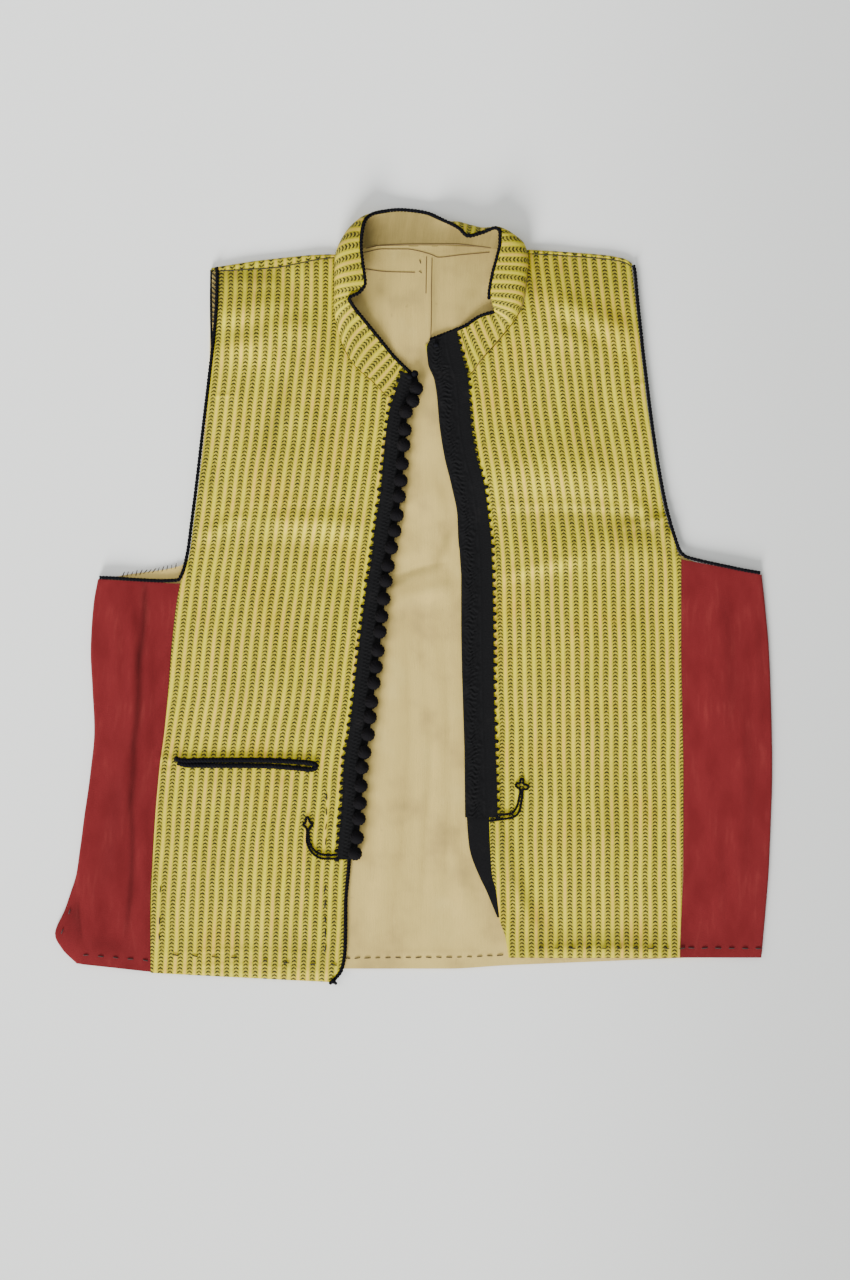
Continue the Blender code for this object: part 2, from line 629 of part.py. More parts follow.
def back():
    """The striped back, whose shoulders turn over to meet the fronts at their seams."""
    x, y, top_x = back_plan(BACK_ROWS)
    bend = FOLD_RADIUS + WALL / 2

    def turned(angle):
        def height(at_x, at_y):
            top = top_height(at_x, at_y)
            return BACK_LEVEL + (top - BACK_LEVEL) * (1 - math.cos(angle)) / 2
        return bend - FOLD_RADIUS * math.sin(angle), height

    shoulder = [(bend + 4, lambda at_x, at_y: np.full_like(at_x, BACK_LEVEL))]
    shoulder += [turned(math.radians(angle)) for angle in SHOULDER_TURNS]
    shoulder += [(SHOULDER_SEAM_DROP - SHOULDER_SEAM_GAP, top_height)]
    top_y, top_z, in_neck = back_top(top_x, shoulder, BACK_LEVEL)
    x = np.vstack([x, np.repeat(top_x[None, :], len(shoulder), axis=0)])
    z = np.vstack([np.full_like(y, BACK_LEVEL), top_z])
    keep = kept_cells(len(y), len(shoulder), in_neck)
    return cloth("back", grid(x, np.vstack([y, top_y]), z), STRIPED_YELLOW, keep)


def back_lining():
    """The lining that shows between the fronts, cut like the back and reaching into the folds."""
    x, y, top_x = back_plan(LINING_ROWS, LINING_HEM)

    def flat(at_x, at_y):
        return np.full_like(at_x, LINING_LEVEL)

    bend = FOLD_RADIUS + WALL / 2
    shoulder = [(bend + 4, flat), (bend + 2.4, flat), (bend + 1.2, flat)]
    top_y, top_z, in_neck = back_top(top_x, shoulder, LINING_LEVEL)
    x = np.vstack([x, np.repeat(top_x[None, :], len(shoulder), axis=0)])
    z = np.vstack([np.full_like(y, LINING_LEVEL), top_z])
    keep = kept_cells(len(y), len(shoulder), in_neck)
    return cloth("back_lining", grid(x, np.vstack([y, top_y]), z), LINING_BEIGE, keep)


def collar_section(station):
    """Points of the collar's section, evenly spaced from its seam to just short of its corded edge."""
    root, belly, edge = (np.asarray(point, float) for point in station[:3])
    part = np.linspace(0, 1, 25)[:, None]
    curve = (1 - part) * (1 - 2 * part) * root + 4 * part * (1 - part) * belly
    curve = curve + part * (2 * part - 1) * edge
    steps = np.linalg.norm(np.diff(curve, axis=0), axis=1)
    travelled = np.concatenate([[0], np.cumsum(steps)])
    wanted = np.linspace(0, travelled[-1] - COLLAR_CORD_ROOM, COLLAR_RINGS)
    return np.stack([np.interp(wanted, travelled, curve[:, axis]) for axis in range(3)], axis=1)


def collar():
    """The striped outside of the collar and its lining, either side of one middle surface."""
    middle = np.array([collar_section(station) for station in COLLAR])
    near, far = COLLAR_GAP / 2, COLLAR_GAP / 2 + WALL
    wall_between("collar", moved_out(middle, far), moved_out(middle, near), STRIPED_YELLOW)
    inside = moved_out(middle, -near)[COLLAR_LINED]
    outside = moved_out(middle, -far)[COLLAR_LINED]
    wall_between("collar_lining", inside, outside, LINING_BEIGE)


def collar_cord():
    """The cord round the collar's free edge, held clear of the lining where it lies flat."""
    lowest = LINING_LEVEL + WALL / 2 + GAP + EDGE_CORD_RADIUS
    route = np.array([station.edge for station in COLLAR], float)
    route[:, 2] = np.where(route[:, 1] > 270, route[:, 2], np.maximum(route[:, 2], lowest))
    route[:, 2] += [station.cord_lift for station in COLLAR]
    tube("collar_cord", route, EDGE_CORD_RADIUS, CORD_BLACK, BACK_STEP)


def band(name, rows, relief):
    """A trimming band along a front edge, laid on the front and thicker where it is worked."""
    x, y = ruled(rows, BAND_COLUMNS)
    middle = BAND_LEVEL - TOP_LEVEL + top_height(x, y)
    lower = grid(x, y, middle - WALL / 2)
    upper = grid(x, y, middle + WALL / 2 + np.asarray(relief)[None, :])
    wall_between(name, upper, lower, BAND_BLACK)


def buttons():
    """The row of covered ball buttons along the right front's band."""
    edge = np.array([(row.right_x, row.right_y) for row in BAND_RIGHT_ROWS])
    whole = np.arange(len(edge))
    at = np.linspace(0, whole[-1], 400)
    edge = np.stack([fair(whole, edge[:, axis], at) for axis in range(2)], axis=1)
    run = np.gradient(edge, axis=0)
    run /= np.linalg.norm(run, axis=1, keepdims=True)
    beside = edge + np.stack([-run[:, 1], run[:, 0]], axis=1) * BUTTON_REACH
    travelled = np.concatenate([[0], np.cumsum(np.linalg.norm(np.diff(beside, axis=0), axis=1))])
    numbers = np.arange(BUTTON_COUNT)
    close = np.minimum(numbers, BUTTONS_CLOSE_SET)
    loose = numbers - close
    along = BUTTON_FIRST_AT + BUTTON_TOP_PITCH * close + BUTTON_PITCH * loose
    along = along + BUTTON_WANDER * np.sin(BUTTON_WANDER_RATE * loose)
    height = LINING_LEVEL + WALL / 2 + BUTTON_CLEARANCE + BUTTON_RADIUS
    shape = bmesh.new()
    bmesh.ops.create_uvsphere(shape, u_segments=8, v_segments=5, radius=BUTTON_RADIUS * METRES)
    mesh = bpy.data.meshes.new("ball_button")
    shape.to_mesh(mesh)
    shape.free()
    mesh.shade_smooth()
    mesh.materials.append(material(CORD_BLACK))
    for number, distance in enumerate(along, start=1):
        place = [np.interp(distance, travelled, beside[:, axis]) for axis in range(2)]
        thing = bpy.data.objects.new(f"button_{number:02d}", mesh)
        thing.location = (place[0] * METRES, place[1] * METRES, height * METRES)
        bpy.context.scene.collection.objects.link(thing)


def laid_cord(name, plan, radius, over):
    """A cord couched on the top layer, over it by the given height of its middle."""
    plan = np.asarray(plan, float)
    height = top_height(plan[:, 0], plan[:, 1]) + over
    tube(name, np.column_stack([plan, height]), radius, CORD_BLACK)


def cords():
    """Every cord sewn beside an edge or laid on a front."""
    on_top = WALL / 2 + GAP
    laid_cord("armhole_cord_right", ARMHOLE_RIGHT_CORD, EDGE_CORD_RADIUS, CORD_BESIDE_RISE)
    laid_cord("armhole_cord_left", ARMHOLE_LEFT_CORD, EDGE_CORD_RADIUS, CORD_BESIDE_RISE)
    laid_cord("front_edge_cord", FRONT_EDGE_CORD, EDGE_CORD_RADIUS, CORD_BESIDE_RISE)
    laid_cord("pocket_cord", POCKET_CORD, POCKET_CORD_RADIUS, on_top + POCKET_CORD_RADIUS)
    laid_cord("loop_cord_right", LOOP_RIGHT_CORD, LOOP_CORD_RADIUS, on_top + LOOP_CORD_RADIUS)
    laid_cord("loop_cord_left", LOOP_LEFT_CORD, LOOP_CORD_RADIUS, on_top + LOOP_CORD_RADIUS)
    collar_cord()


def build():
    clear_scene()
    front_columns = np.linspace(0, 1, 9)
    back()
    back_lining()
    side_panel("side_panel_right", SIDE_RIGHT_ROWS, UNDER_SEAM_RIGHT_X, BRICK_RED)
    side_panel("side_panel_left", SIDE_LEFT_ROWS, UNDER_SEAM_LEFT_X, BRICK_RED)
    front("front_right", FRONT_RIGHT_ROWS, front_columns, STRIPED_YELLOW)
    front("front_left", FRONT_LEFT_ROWS, front_columns, STRIPED_YELLOW)
    x, y = ruled(FACING_ROWS, (0, 1))
    cloth("band_facing", grid(x, y, top_height(x, y)), BAND_BLACK)
    collar()
    band("band_right", BAND_RIGHT_ROWS, BAND_RIGHT_RELIEF)
    band("band_left", BAND_LEFT_ROWS, BAND_LEFT_RELIEF)
    buttons()
    cords()


build()
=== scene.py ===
import math
from collections import namedtuple
import bpy
import numpy as np
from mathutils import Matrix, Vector
from mathutils.bvhtree import BVHTree


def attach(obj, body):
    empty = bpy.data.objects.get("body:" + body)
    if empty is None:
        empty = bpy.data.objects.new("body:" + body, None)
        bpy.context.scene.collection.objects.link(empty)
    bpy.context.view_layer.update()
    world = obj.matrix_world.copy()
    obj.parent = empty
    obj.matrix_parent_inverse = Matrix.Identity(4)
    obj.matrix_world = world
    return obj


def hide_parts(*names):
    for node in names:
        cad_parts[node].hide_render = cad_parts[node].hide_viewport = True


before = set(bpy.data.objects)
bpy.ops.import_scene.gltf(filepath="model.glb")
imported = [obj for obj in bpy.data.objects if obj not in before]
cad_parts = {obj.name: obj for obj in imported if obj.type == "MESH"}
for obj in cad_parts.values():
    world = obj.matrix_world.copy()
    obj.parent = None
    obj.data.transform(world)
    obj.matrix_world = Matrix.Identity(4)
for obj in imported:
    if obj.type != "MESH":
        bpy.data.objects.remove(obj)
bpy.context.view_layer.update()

# A folk waistcoat laid open on its back, seen from straight above.
# Every table is in millimetres, in the frame's own axes; meshes are made in metres.
mm = 0.001

layers = {
    "wall": 1.0,  # thickness of a shown cloth
    "backMiddle": 0.55,  # heights of the middle of each layer
    "liningMiddle": 1.95,
    "topMiddle": 3.35,
    "bandMiddle": 4.75,
    "edgeRoll": 0.3,  # how far a panel dips at its seams
    "rollWidth": 2.2,
    "hemDroop": 1.6,
    "hemDroopFrom": -284.0,
    "hemDroopLength": 9.0,
}

Row = namedtuple("Row", "leftX leftY rightX rightY")
SideRow = namedtuple("SideRow", "seamX seamY creaseX foldX foldY underY drop")
Station = namedtuple("Station", "root belly edge cordLift", defaults=(0,))
Swell = namedtuple("Swell", "x y halfWidth halfLength rise")
Crease = namedtuple("Crease", "x0 y0 x1 y1 width rise")


def named(kind, table):
    return tuple(kind(*entry) for entry in table)


# Curves and fields

def fair(places, values, at):  # values between the given ones, on a smooth curve that never passes them
    places = np.asarray(places, float)
    values = np.asarray(values, float)
    steps = np.diff(places)
    slopes = np.diff(values) / steps
    before, after = slopes[:-1], slopes[1:]
    sameWay = before * after > 0
    mean = np.zeros(len(before))
    mean[sameWay] = 2 * before[sameWay] * after[sameWay] / (before + after)[sameWay]
    tangents = np.concatenate([slopes[:1], mean, slopes[-1:]])
    cell = np.clip(np.searchsorted(places, at, side="right") - 1, 0, len(steps) - 1)
    part = np.clip((at - places[cell]) / steps[cell], 0, 1)
    start, end = values[cell], values[cell + 1]
    pullStart, pullEnd = tangents[cell] * steps[cell], tangents[cell + 1] * steps[cell]
    cube, square = part ** 3, part ** 2
    return (
        (2 * cube - 3 * square + 1) * start
        + (cube - 2 * square + part) * pullStart
        + (3 * square - 2 * cube) * end
        + (cube - square) * pullEnd
    )


def smoothStep(value):
    part = np.clip(value, 0, 1)
    return part * part * (3 - 2 * part)


def curve(table, at):  # the same through a table of (place, value)
    return fair(*zip(*table), at)


def travelled(points, axis=0):  # the way gone to each point along that axis
    first = np.take(points, [0], axis=axis)
    return np.cumsum(np.linalg.norm(np.diff(points, axis=axis, prepend=first), axis=-1), axis=axis)


finePoints = 40  # for each point of a route, to measure it by


def evenRoute(points, step):  # a smooth route through the points, with a point every step
    points = np.asarray(points, float)
    whole = np.arange(len(points))
    at = np.linspace(0, len(points) - 1, finePoints * len(points))
    path = np.stack([fair(whole, points[:, axis], at) for axis in range(points.shape[1])], axis=1)
    gone = travelled(path)
    wanted = np.linspace(0, gone[-1], max(2, int(round(gone[-1] / step)) + 1))
    return np.stack([np.interp(wanted, gone, path[:, axis]) for axis in range(path.shape[1])], axis=1)


def besideRoute(path, distance):  # the same route in plan, moved to its left
    run = np.gradient(path[:, :2], axis=0)
    run /= np.linalg.norm(run, axis=1, keepdims=True)
    moved = path.copy()
    moved[:, :2] += np.stack([-run[:, 1], run[:, 0]], axis=1) * distance
    return moved


# The lie of the top layer of cloth

swells = named(Swell, (
    (-118, 185, 40, 46, 3.4), (-122, -62, 46, 80, 3.2), (-112, -215, 44, 42, 1.6), (120, 190, 38, 40, 2.8),
    (112, 104, 64, 34, 4.0), (132, -60, 46, 76, 3.2), (138, -200, 40, 44, 1.8), (-100, 92, 52, 26, 2.2),
    (-74, 228, 14, 34, 1.6), (102, 226, 16, 34, 1.8), (-219, -90, 17, 90, 2.6), (-243, -242, 9, 26, 1.6),
    (238, -95, 22, 100, 2.8),
))

topCreases = named(Crease, (
    (-166, 42, -116, 64, 5.5, 2.0), (-126, 56, -26, 52, 7.5, 2.3), (-158, 66, -60, 72, 4.0, 0.5),
    (-160, 38, -40, 36, 3.5, -0.25), (-156, 210, -78, 224, 9.0, 1.9), (-158, 178, -64, 210, 10.5, 3.0),
    (-150, 238, -92, 236, 5.0, 0.8), (-58, 208, -104, 118, 9.0, 2.0), (-132, 168, -140, 96, 9.0, 1.4),
    (-84, 150, -72, 80, 8.0, 1.1), (-30, 120, -46, 40, 6.0, 0.8), (-153, 151, -135, 152, 1.8, 0.8),
    (-197, -122, -177, -126, 2.8, 1.2), (-192, -134, -178, -131, 2.6, 0.7),
    (-150, -10, -146, -112, 7.0, 1.0), (-66, 20, -74, -100, 7.0, 0.9), (-112, 8, -108, -100, 6.0, 0.8),
    (-120, -150, -112, -270, 8.0, 1.0), (-170, -160, -168, -276, 7.0, 0.9),
    (-84, -180, -78, -272, 6.0, 0.8), (-196, -271, -54, -273.5, 1.3, 0.45),
    (-190, -281.5, -60, -285.5, 1.2, 0.4), (34, 88, 186, 84, 19.0, 3.2), (44, 66.5, 178, 65, 3.2, 0.9),
    (52, 59.5, 200, 58, 3.0, -0.3), (54, 27, 206, 36, 13.0, 2.2), (56, 12, 142, 31, 5.5, 1.3),
    (150, 50, 206, 60, 3.0, 1.0), (181, 57, 197, 61, 1.8, 1.1), (156, 78, 207, 34, 6.0, 2.2),
    (92, 230, 178, 190, 9.0, 2.4), (96, 206, 150, 178, 7.0, 1.2), (166, 159, 177, 162, 1.8, 0.9),
    (112, 186, 104, 84, 8.0, 1.3), (152, 182, 158, 86, 8.0, 1.4), (72, 170, 66, 92, 6.0, 0.9),
    (84, 10, 92, -112, 7.0, 1.0), (120, 2, 124, -120, 6.0, 0.8), (162, 6, 168, -120, 8.0, 1.1),
    (110, -130, 116, -256, 8.0, 1.0), (176, -140, 174, -258, 7.0, 0.9), (142, -150, 146, -256, 6.0, 0.7),
    (57, -158, 90, -262, 4.0, 1.1), (64, -266.2, 204, -266.2, 1.3, -0.3), (74, -272, 208, -271, 6.0, 1.4),
    (-217, 14, -214, -124, 5.0, 2.0), (-215, -108, -234, -232, 6.0, 1.8),
    (-204, -10, -205, -140, 4.0, 0.8), (-226, 6, -228, -80, 5.0, 1.0), (-206, -150, -208, -262, 5.0, 1.0),
    (-252, -236, -262, -262, 3.0, 0.7), (230, 16, 234, -120, 6.0, 1.4), (246, -60, 241, -255, 6.0, 1.3),
    (220, -20, 219, -180, 5.0, 0.8), (256, 4, 260, -120, 4.0, 0.7), (226, -160, 230, -262, 5.0, 0.9),
))


# Strokes of painted shade (above zero) and painted light (below zero) along creases and over corners and the
# hem of the cloth
paintedShadingStrength = 1.5

topPaintedShading = named(Crease, (
    (-196, 232, -84, 240, 15.0, 0.2), (-190, 246, -30, 254, 9.0, 0.08), (-164, 208, -84, 200, 6.0, -0.16),
    (-150, 192, -78, 162, 8.5, -0.17), (-86, 196, -118, 100, 7.0, 0.17), (-164, 136, -154, 70, 9.0, 0.1),
    (-164, 38, -118, 66, 5.0, -0.1), (-116, 54, -28, 38, 8.0, -0.13), (-150, 34, -60, 30, 7.0, 0.06),
    (-84, 22, -36, -16, 10.0, 0.06), (-178, -138, -72, -142, 6.0, 0.07),
    (-120, -262, -50, -282, 11.0, 0.13), (-196, -264, -100, -272, 7.0, 0.05),
    (-178, -176, -176, -262, 8.0, -0.05), (60, 252, 220, 226, 17.0, 0.15), (66, 204, 62, 192, 6.0, 0.13),
    (92, 244, 90, 226, 6.0, 0.12), (96, 222, 172, 178, 6.0, -0.14), (132, 210, 130, 112, 8.0, 0.1),
    (50, 96, 184, 78, 14.0, -0.12), (56, 55, 206, 50, 9.0, 0.14), (60, 8, 138, 26, 5.0, -0.11),
    (140, 50, 240, 26, 11.0, 0.13), (150, 74, 204, 58, 4.0, -0.08), (58, -168, 76, -224, 5.0, 0.16),
    (70, -206, 104, -262, 5.5, 0.18), (46, -266, 240, -267, 9.0, 0.15), (150, -60, 152, -200, 12.0, 0.05),
    (-203.5, 24, -210.5, -66, 2.4, 0.26), (-208.5, -30, -213.5, -128, 2.4, 0.22),
    (-212.5, -96, -216, -172, 2.4, 0.22), (-214.5, -140, -219.5, -270, 2.2, 0.22),
    (-218, 60, -236, -330, 34.0, 0.03), (-224, -120, -236, -230, 8.0, 0.08),
    (-257.5, -220, -253.5, -274, 2.0, 0.3), (-266, -228, -258, -274, 6.0, 0.09),
    (-256, -262, -204, -272, 7.0, 0.08), (230, 10, 234, -120, 8.0, 0.05),
))

liningPaintedShading = named(Crease, (
    (-32, 6, 24, 22, 4.6, 0.17), (-30, 3, 0, 13, 2.2, 0.12), (14, 12, 33, 58, 3.8, 0.15),
    (-20, 19, 18, 36, 6.0, -0.08), (24, 26, 30, -10, 3.0, 0.08), (2, 150, 0, 40, 11.0, -0.07),
    (-8, -10, -18, -262, 3.0, 0.08), (4, 0, 2, -262, 2.4, 0.09), (9, -20, 8, -250, 4.0, -0.06),
    (19, -10, 17, -262, 2.4, 0.09), (-28, -120, -36, -268, 5.0, -0.05), (-34, 206, -20, 240, 6.0, 0.06),
    (48, 244, 30, 196, 6.0, 0.07), (13.5, 258, 13, 184, 2.6, 0.1), (-40, 258, 66, 258, 7.0, 0.08),
    (-14, 176, -6, 120, 5.0, 0.07),
))


creaseForm = {"bow": 0.03, "fade": 0.3}  # shares of its length: how far it bows, and each end that fades
ripples = {"slow": 0.16, "quick": 0.09, "bands": 0.05}  # heights


def creaseHeight(x, y, creases):  # soft ridges and troughs that fade towards both ends
    total = np.zeros(np.broadcast(x, y).shape)
    for crease in creases:
        runX, runY = crease.x1 - crease.x0, crease.y1 - crease.y0
        length = math.hypot(runX, runY)
        along = ((x - crease.x0) * runX + (y - crease.y0) * runY) / length
        across = ((x - crease.x0) * -runY + (y - crease.y0) * runX) / length
        bow = creaseForm["bow"] * length * np.sin(along / length * math.pi)
        end = creaseForm["fade"] * length
        fade = smoothStep(along / end) * smoothStep((length - along) / end)
        total = total + crease.rise * np.exp(-((across - bow) / crease.width) ** 2) * fade
    return total


# The slight unevenness of cloth that lies by its own weight; x and y are divided by lengths in millimetres
def ripple(x, y):
    slow = np.sin(x / 13.0 + 0.9 * np.sin(y / 29.0)) * np.sin(y / 21.0 + 0.7)
    quick = np.sin(x / 6.3 - y / 8.1 + 1.1 * np.sin(x / 17.0)) * np.sin(y / 11.0 + x / 23.0)
    bands = np.sin(x / 3.2 + 0.9 * np.sin(y / 47.0)) * (0.55 + 0.45 * np.sin(x / 31.0 + y / 83.0))
    return ripples["slow"] * slow + ripples["quick"] * quick + ripples["bands"] * bands


def topHeight(x, y):  # height of the middle of the top layer
    lift = sum(
        swell.rise * np.exp(-((x - swell.x) / swell.halfWidth) ** 2 - ((y - swell.y) / swell.halfLength) ** 2)
        for swell in swells
    )
    droop = layers["hemDroop"] * smoothStep((layers["hemDroopFrom"] - y) / layers["hemDroopLength"])
    return layers["topMiddle"] + lift - droop + creaseHeight(x, y, topCreases) + ripple(x, y)


# Meshes

sharpAngle = math.radians(55)


def placesBetween(rows, step):  # row numbers that put no two sections further apart than a step
    numbers = [0.0]
    for index, (first, second) in enumerate(zip(rows, rows[1:])):
        length = max(abs(a - b) for a, b in zip(first, second))
        count = max(1, math.ceil(length / step))
        numbers += [index + (part + 1) / count for part in range(count)]
    return np.array(numbers)


def sections(rows, step):  # the columns of a table of rows, drawn out, and the row numbers
    at = placesBetween(rows, step)
    return [fair(np.arange(len(rows)), column, at)[:, None] for column in zip(*rows)], at


def ruled(rows, columns, step):  # plan of a panel whose sections run straight from edge to edge
    (leftX, leftY, rightX, rightY), at = sections(rows, step)
    across = np.asarray(columns)[None, :]
    return leftX + (rightX - leftX) * across, leftY + (rightY - leftY) * across, at


def gridOf(x, y, z):
    return np.stack(np.broadcast_arrays(x, y, z), axis=-1).astype(float)


def normalsOf(points):
    facing = np.cross(np.gradient(points, axis=1), np.gradient(points, axis=0))
    return facing / np.maximum(np.linalg.norm(facing, axis=2, keepdims=True), 1e-9)


def addObject(name, mesh, material=None):
    if material:
        mesh.materials.append(material)
    thing = bpy.data.objects.new(name, mesh)
    bpy.context.scene.collection.objects.link(thing)
    return thing


def signedVolume(points, quads):
    a, b, c, d = (points[quads[:, corner]] for corner in range(4))
    return np.einsum("ij,ij->i", a, np.cross(b, c) + np.cross(c, d)).sum()


def shell(name, upper, lower, uv, material, keep=None):  # closed wall of cloth between two grids of points
    rows, columns = upper.shape[:2]
    if keep is None:
        keep = np.ones((rows - 1, columns - 1), bool)
    number = np.arange(rows * columns).reshape(rows, columns)
    corners = (number[:-1, :-1], number[:-1, 1:], number[1:, 1:], number[1:, :-1])
    top = np.stack([corner[keep] for corner in corners], axis=1)
    bottom = top[:, ::-1] + rows * columns
    edges = np.concatenate([top[:, [side, (side + 1) % 4]] for side in range(4)])
    codes = edges[:, 0] * rows * columns + edges[:, 1]
    reverse = edges[:, 1] * rows * columns + edges[:, 0]
    rimEdges = edges[~np.isin(codes, reverse)]
    start, end = rimEdges[:, 0], rimEdges[:, 1]
    rim = np.stack([end, start, start + rows * columns, end + rows * columns], axis=1)
    quads = np.concatenate([top, bottom, rim])
    points = np.concatenate([upper.reshape(-1, 3), lower.reshape(-1, 3)]) * mm
    if signedVolume(points, quads) < 0:
        quads = quads[:, ::-1]
    used, compact = np.unique(quads, return_inverse=True)
    mesh = bpy.data.meshes.new(name)
    mesh.from_pydata(points[used].tolist(), [], compact.reshape(quads.shape).tolist())
    places = np.concatenate([uv.reshape(-1, 2)] * 2) * mm
    layer = mesh.uv_layers.new(name="cloth")
    layer.data.foreach_set("uv", places[quads.reshape(-1)].astype(np.float32).reshape(-1))
    mesh.shade_smooth()
    mesh.set_sharp_from_angle(angle=sharpAngle)
    return addObject(name, mesh, material)


def addPaintedShading(thing, strokes):  # how much painted shade or light each point gets, for the material to read
    places = np.empty(len(thing.data.vertices) * 3)
    thing.data.vertices.foreach_get("co", places)
    places = places.reshape(-1, 3) / mm
    paintedShading = thing.data.attributes.new("paintedShading", "FLOAT", "POINT")
    paintedShading.data.foreach_set("value", paintedShadingStrength * creaseHeight(places[:, 0], places[:, 1], strokes))


def clothPiece(name, points, uv, material, keep=None):  # a wall of cloth round its middle surface
    out = normalsOf(points) * layers["wall"] / 2
    return shell(name, points + out, points - out, uv, material, keep)


def routeObject(name, routes):  # lines that a node tree grows something along
    mesh = bpy.data.meshes.new(name)
    points, edges = [], []
    for route in routes:
        first = len(points)
        points += [tuple(point * mm) for point in route]
        edges += [(first + index, first + index + 1) for index in range(len(route) - 1)]
    mesh.from_pydata(points, edges, [])
    return addObject(name, mesh)


# Shader maths

class Flow:  # an output socket that Python's own operators work on
    def __init__(self, finish, socket):
        self.finish = finish
        self.socket = socket

    def maths(self, operation, *values):
        return self.finish.node("ShaderNodeMath", {"operation": operation}, dict(enumerate(values)))

    def __add__(self, other):
        return self.maths("ADD", self, other)

    __radd__ = __add__

    def __sub__(self, other):
        return self.maths("SUBTRACT", self, other)

    def __rsub__(self, other):
        return self.maths("SUBTRACT", other, self)

    def __mul__(self, other):
        return self.maths("MULTIPLY", self, other)

    __rmul__ = __mul__

    def __truediv__(self, other):
        return self.maths("DIVIDE", self, other)

    def fraction(self):
        return self.maths("FRACT", self)

    def whole(self):
        return self.maths("FLOOR", self)

    def size(self):
        return self.maths("ABSOLUTE", self)

    def sine(self):
        return self.maths("SINE", self)

    def between(self, low, high):  # 0 at low, 1 at high, smooth in between
        settings = {"interpolation_type": "SMOOTHSTEP"}
        values = {"Value": self, "From Min": low, "From Max": high}
        return self.finish.node("ShaderNodeMapRange", settings, values)


class Finish:  # one material and the nodes that colour it
    def __init__(self, name, roughness, sheen=0.0, specular=0.3):
        self.material = bpy.data.materials.new(name)
        self.material.use_nodes = True
        self.tree = self.material.node_tree
        self.shader = self.tree.nodes["Principled BSDF"]
        self.shader.inputs["Roughness"].default_value = roughness
        self.shader.inputs["Sheen Weight"].default_value = sheen
        self.shader.inputs["Sheen Roughness"].default_value = 0.45
        self.shader.inputs["Specular IOR Level"].default_value = specular

    def node(self, kind, settings=None, values=None, output=0):
        made = self.tree.nodes.new(kind)
        for key, value in (settings or {}).items():
            setattr(made, key, value)
        for key, value in (values or {}).items():
            self.feed(made.inputs[key], value)
        return Flow(self, made.outputs[output])

    def feed(self, socket, value):
        if isinstance(value, Flow):
            self.tree.links.new(value.socket, socket)
        else:
            socket.default_value = value

    def mixed(self, first, second, factor):
        return self.node("ShaderNodeMix", {"data_type": "RGBA"}, {0: factor, 6: first, 7: second}, 2)

    def clothPlace(self):  # (across the grain, along the grain) in millimetres
        place = self.node("ShaderNodeUVMap", {"uv_map": "cloth"})
        scale = (1 / mm, 1 / mm, 0)
        scaled = self.node("ShaderNodeVectorMath", {"operation": "MULTIPLY"}, {0: place, 1: scale})
        return scaled, *(self.node("ShaderNodeSeparateXYZ", None, {0: scaled}, axis) for axis in range(2))

    def bodyPlace(self):  # object coordinates in millimetres
        place = self.node("ShaderNodeTexCoord", output=3)
        return self.node("ShaderNodeVectorMath", {"operation": "MULTIPLY"}, {0: place, 1: (1 / mm,) * 3})

    def noise(self, place, grain, detail=2.0, roughness=0.5):  # grain is the size of a patch, in millimetres
        values = {"Vector": place, "Scale": 1 / grain, "Detail": detail, "Roughness": roughness}
        return self.node("ShaderNodeTexNoise", None, values)

    def paintedShading(self):  # the piece's own strokes of painted shade and light
        return self.node("ShaderNodeAttribute", {"attribute_name": "paintedShading"}, output=2)

    def darkening(self, low, high, depth):  # its strokes of painted shade and light, and darker towards the neck
        height = self.node("ShaderNodeSeparateXYZ", None, {0: self.bodyPlace()}, 1)
        return self.paintedShading() + height.between(low, high) * depth

    def at(self, x, y, z=0.0):
        return self.node("ShaderNodeCombineXYZ", None, {0: x, 1: y, 2: z})

    def tinted(self, colour, tint, factor):  # the colour times a tint
        settings = {"data_type": "RGBA", "blend_type": "MULTIPLY"}
        return self.node("ShaderNodeMix", settings, {0: factor, 6: colour, 7: tint}, 2)

    def lit(self, colour, brightness):  # the colour made lighter or darker
        return self.tinted(colour, self.at(brightness, brightness, brightness), 1.0)

    def plainWeave(self, across, along, thread):  # up and down by one thread's width
        turn = 2 * math.pi / thread
        return (across * turn).sine() * (along * turn).sine()

    def finished(self, colour, height=None, depth=0.2, roughness=None):
        self.feed(self.shader.inputs["Base Color"], colour)
        if roughness is not None:
            self.feed(self.shader.inputs["Roughness"], roughness)
        if height is not None:
            values = {"Height": height, "Distance": depth * mm, "Strength": 1.0}
            self.feed(self.shader.inputs["Normal"], self.node("ShaderNodeBump", None, values))
        return self.material


def paint(red, green, blue):  # a colour from 0 to 255 as a shader's linear colour
    channels = [value / 255 for value in (red, green, blue)]
    return tuple(v / 12.92 if v <= 0.04045 else ((v + 0.055) / 1.055) ** 2.4 for v in channels) + (1.0,)


# In the materials below, places are divided by the size of a patch in millimetres

# The striped yellow twill

twill = {
    "pitch": 7.2,  # from one cream line to the next
    "creamHalf": 1.0,
    "limeHalf": 1.75,
    "softness": 0.3,
    "stray": 2.2,  # how far the lines wander sideways
    "hatchPitch": 2.7,
    "hatchSlope": 0.6,
    "hatchBlur": 0.6,
    "hatchShow": (0.54, 0.26),  # its contrast where the cloth is unworn, and what wear adds
    "olive": {"middle": 0.37, "fleck": 0.44, "worn": 0.24},  # how light the hatched cloth is
    "creamPink": paint(220, 186, 70),
    "creamGreen": paint(211, 197, 44),
    "lime": paint(186, 176, 14),
    "oliveDark": paint(38, 38, 14),
    "oliveLight": paint(200, 185, 50),
    "golden": (1.0, 0.86, 0.62, 1),
    "goldenShare": 0.55,
    "level": {"broad": 0.2, "worn": 0.16, "thread": 0.3, "bands": 0.22},  # changes of brightness
    "darkening": (110, 290, 0.1),  # darker towards the neck: from and to these heights, and its depth
    "relief": {"hatch": 0.5, "cream": 0.8, "thread": 0.5, "depth": 0.22},
    "rough": (0.66, 0.12),  # and how much smoother the cream lines are
}


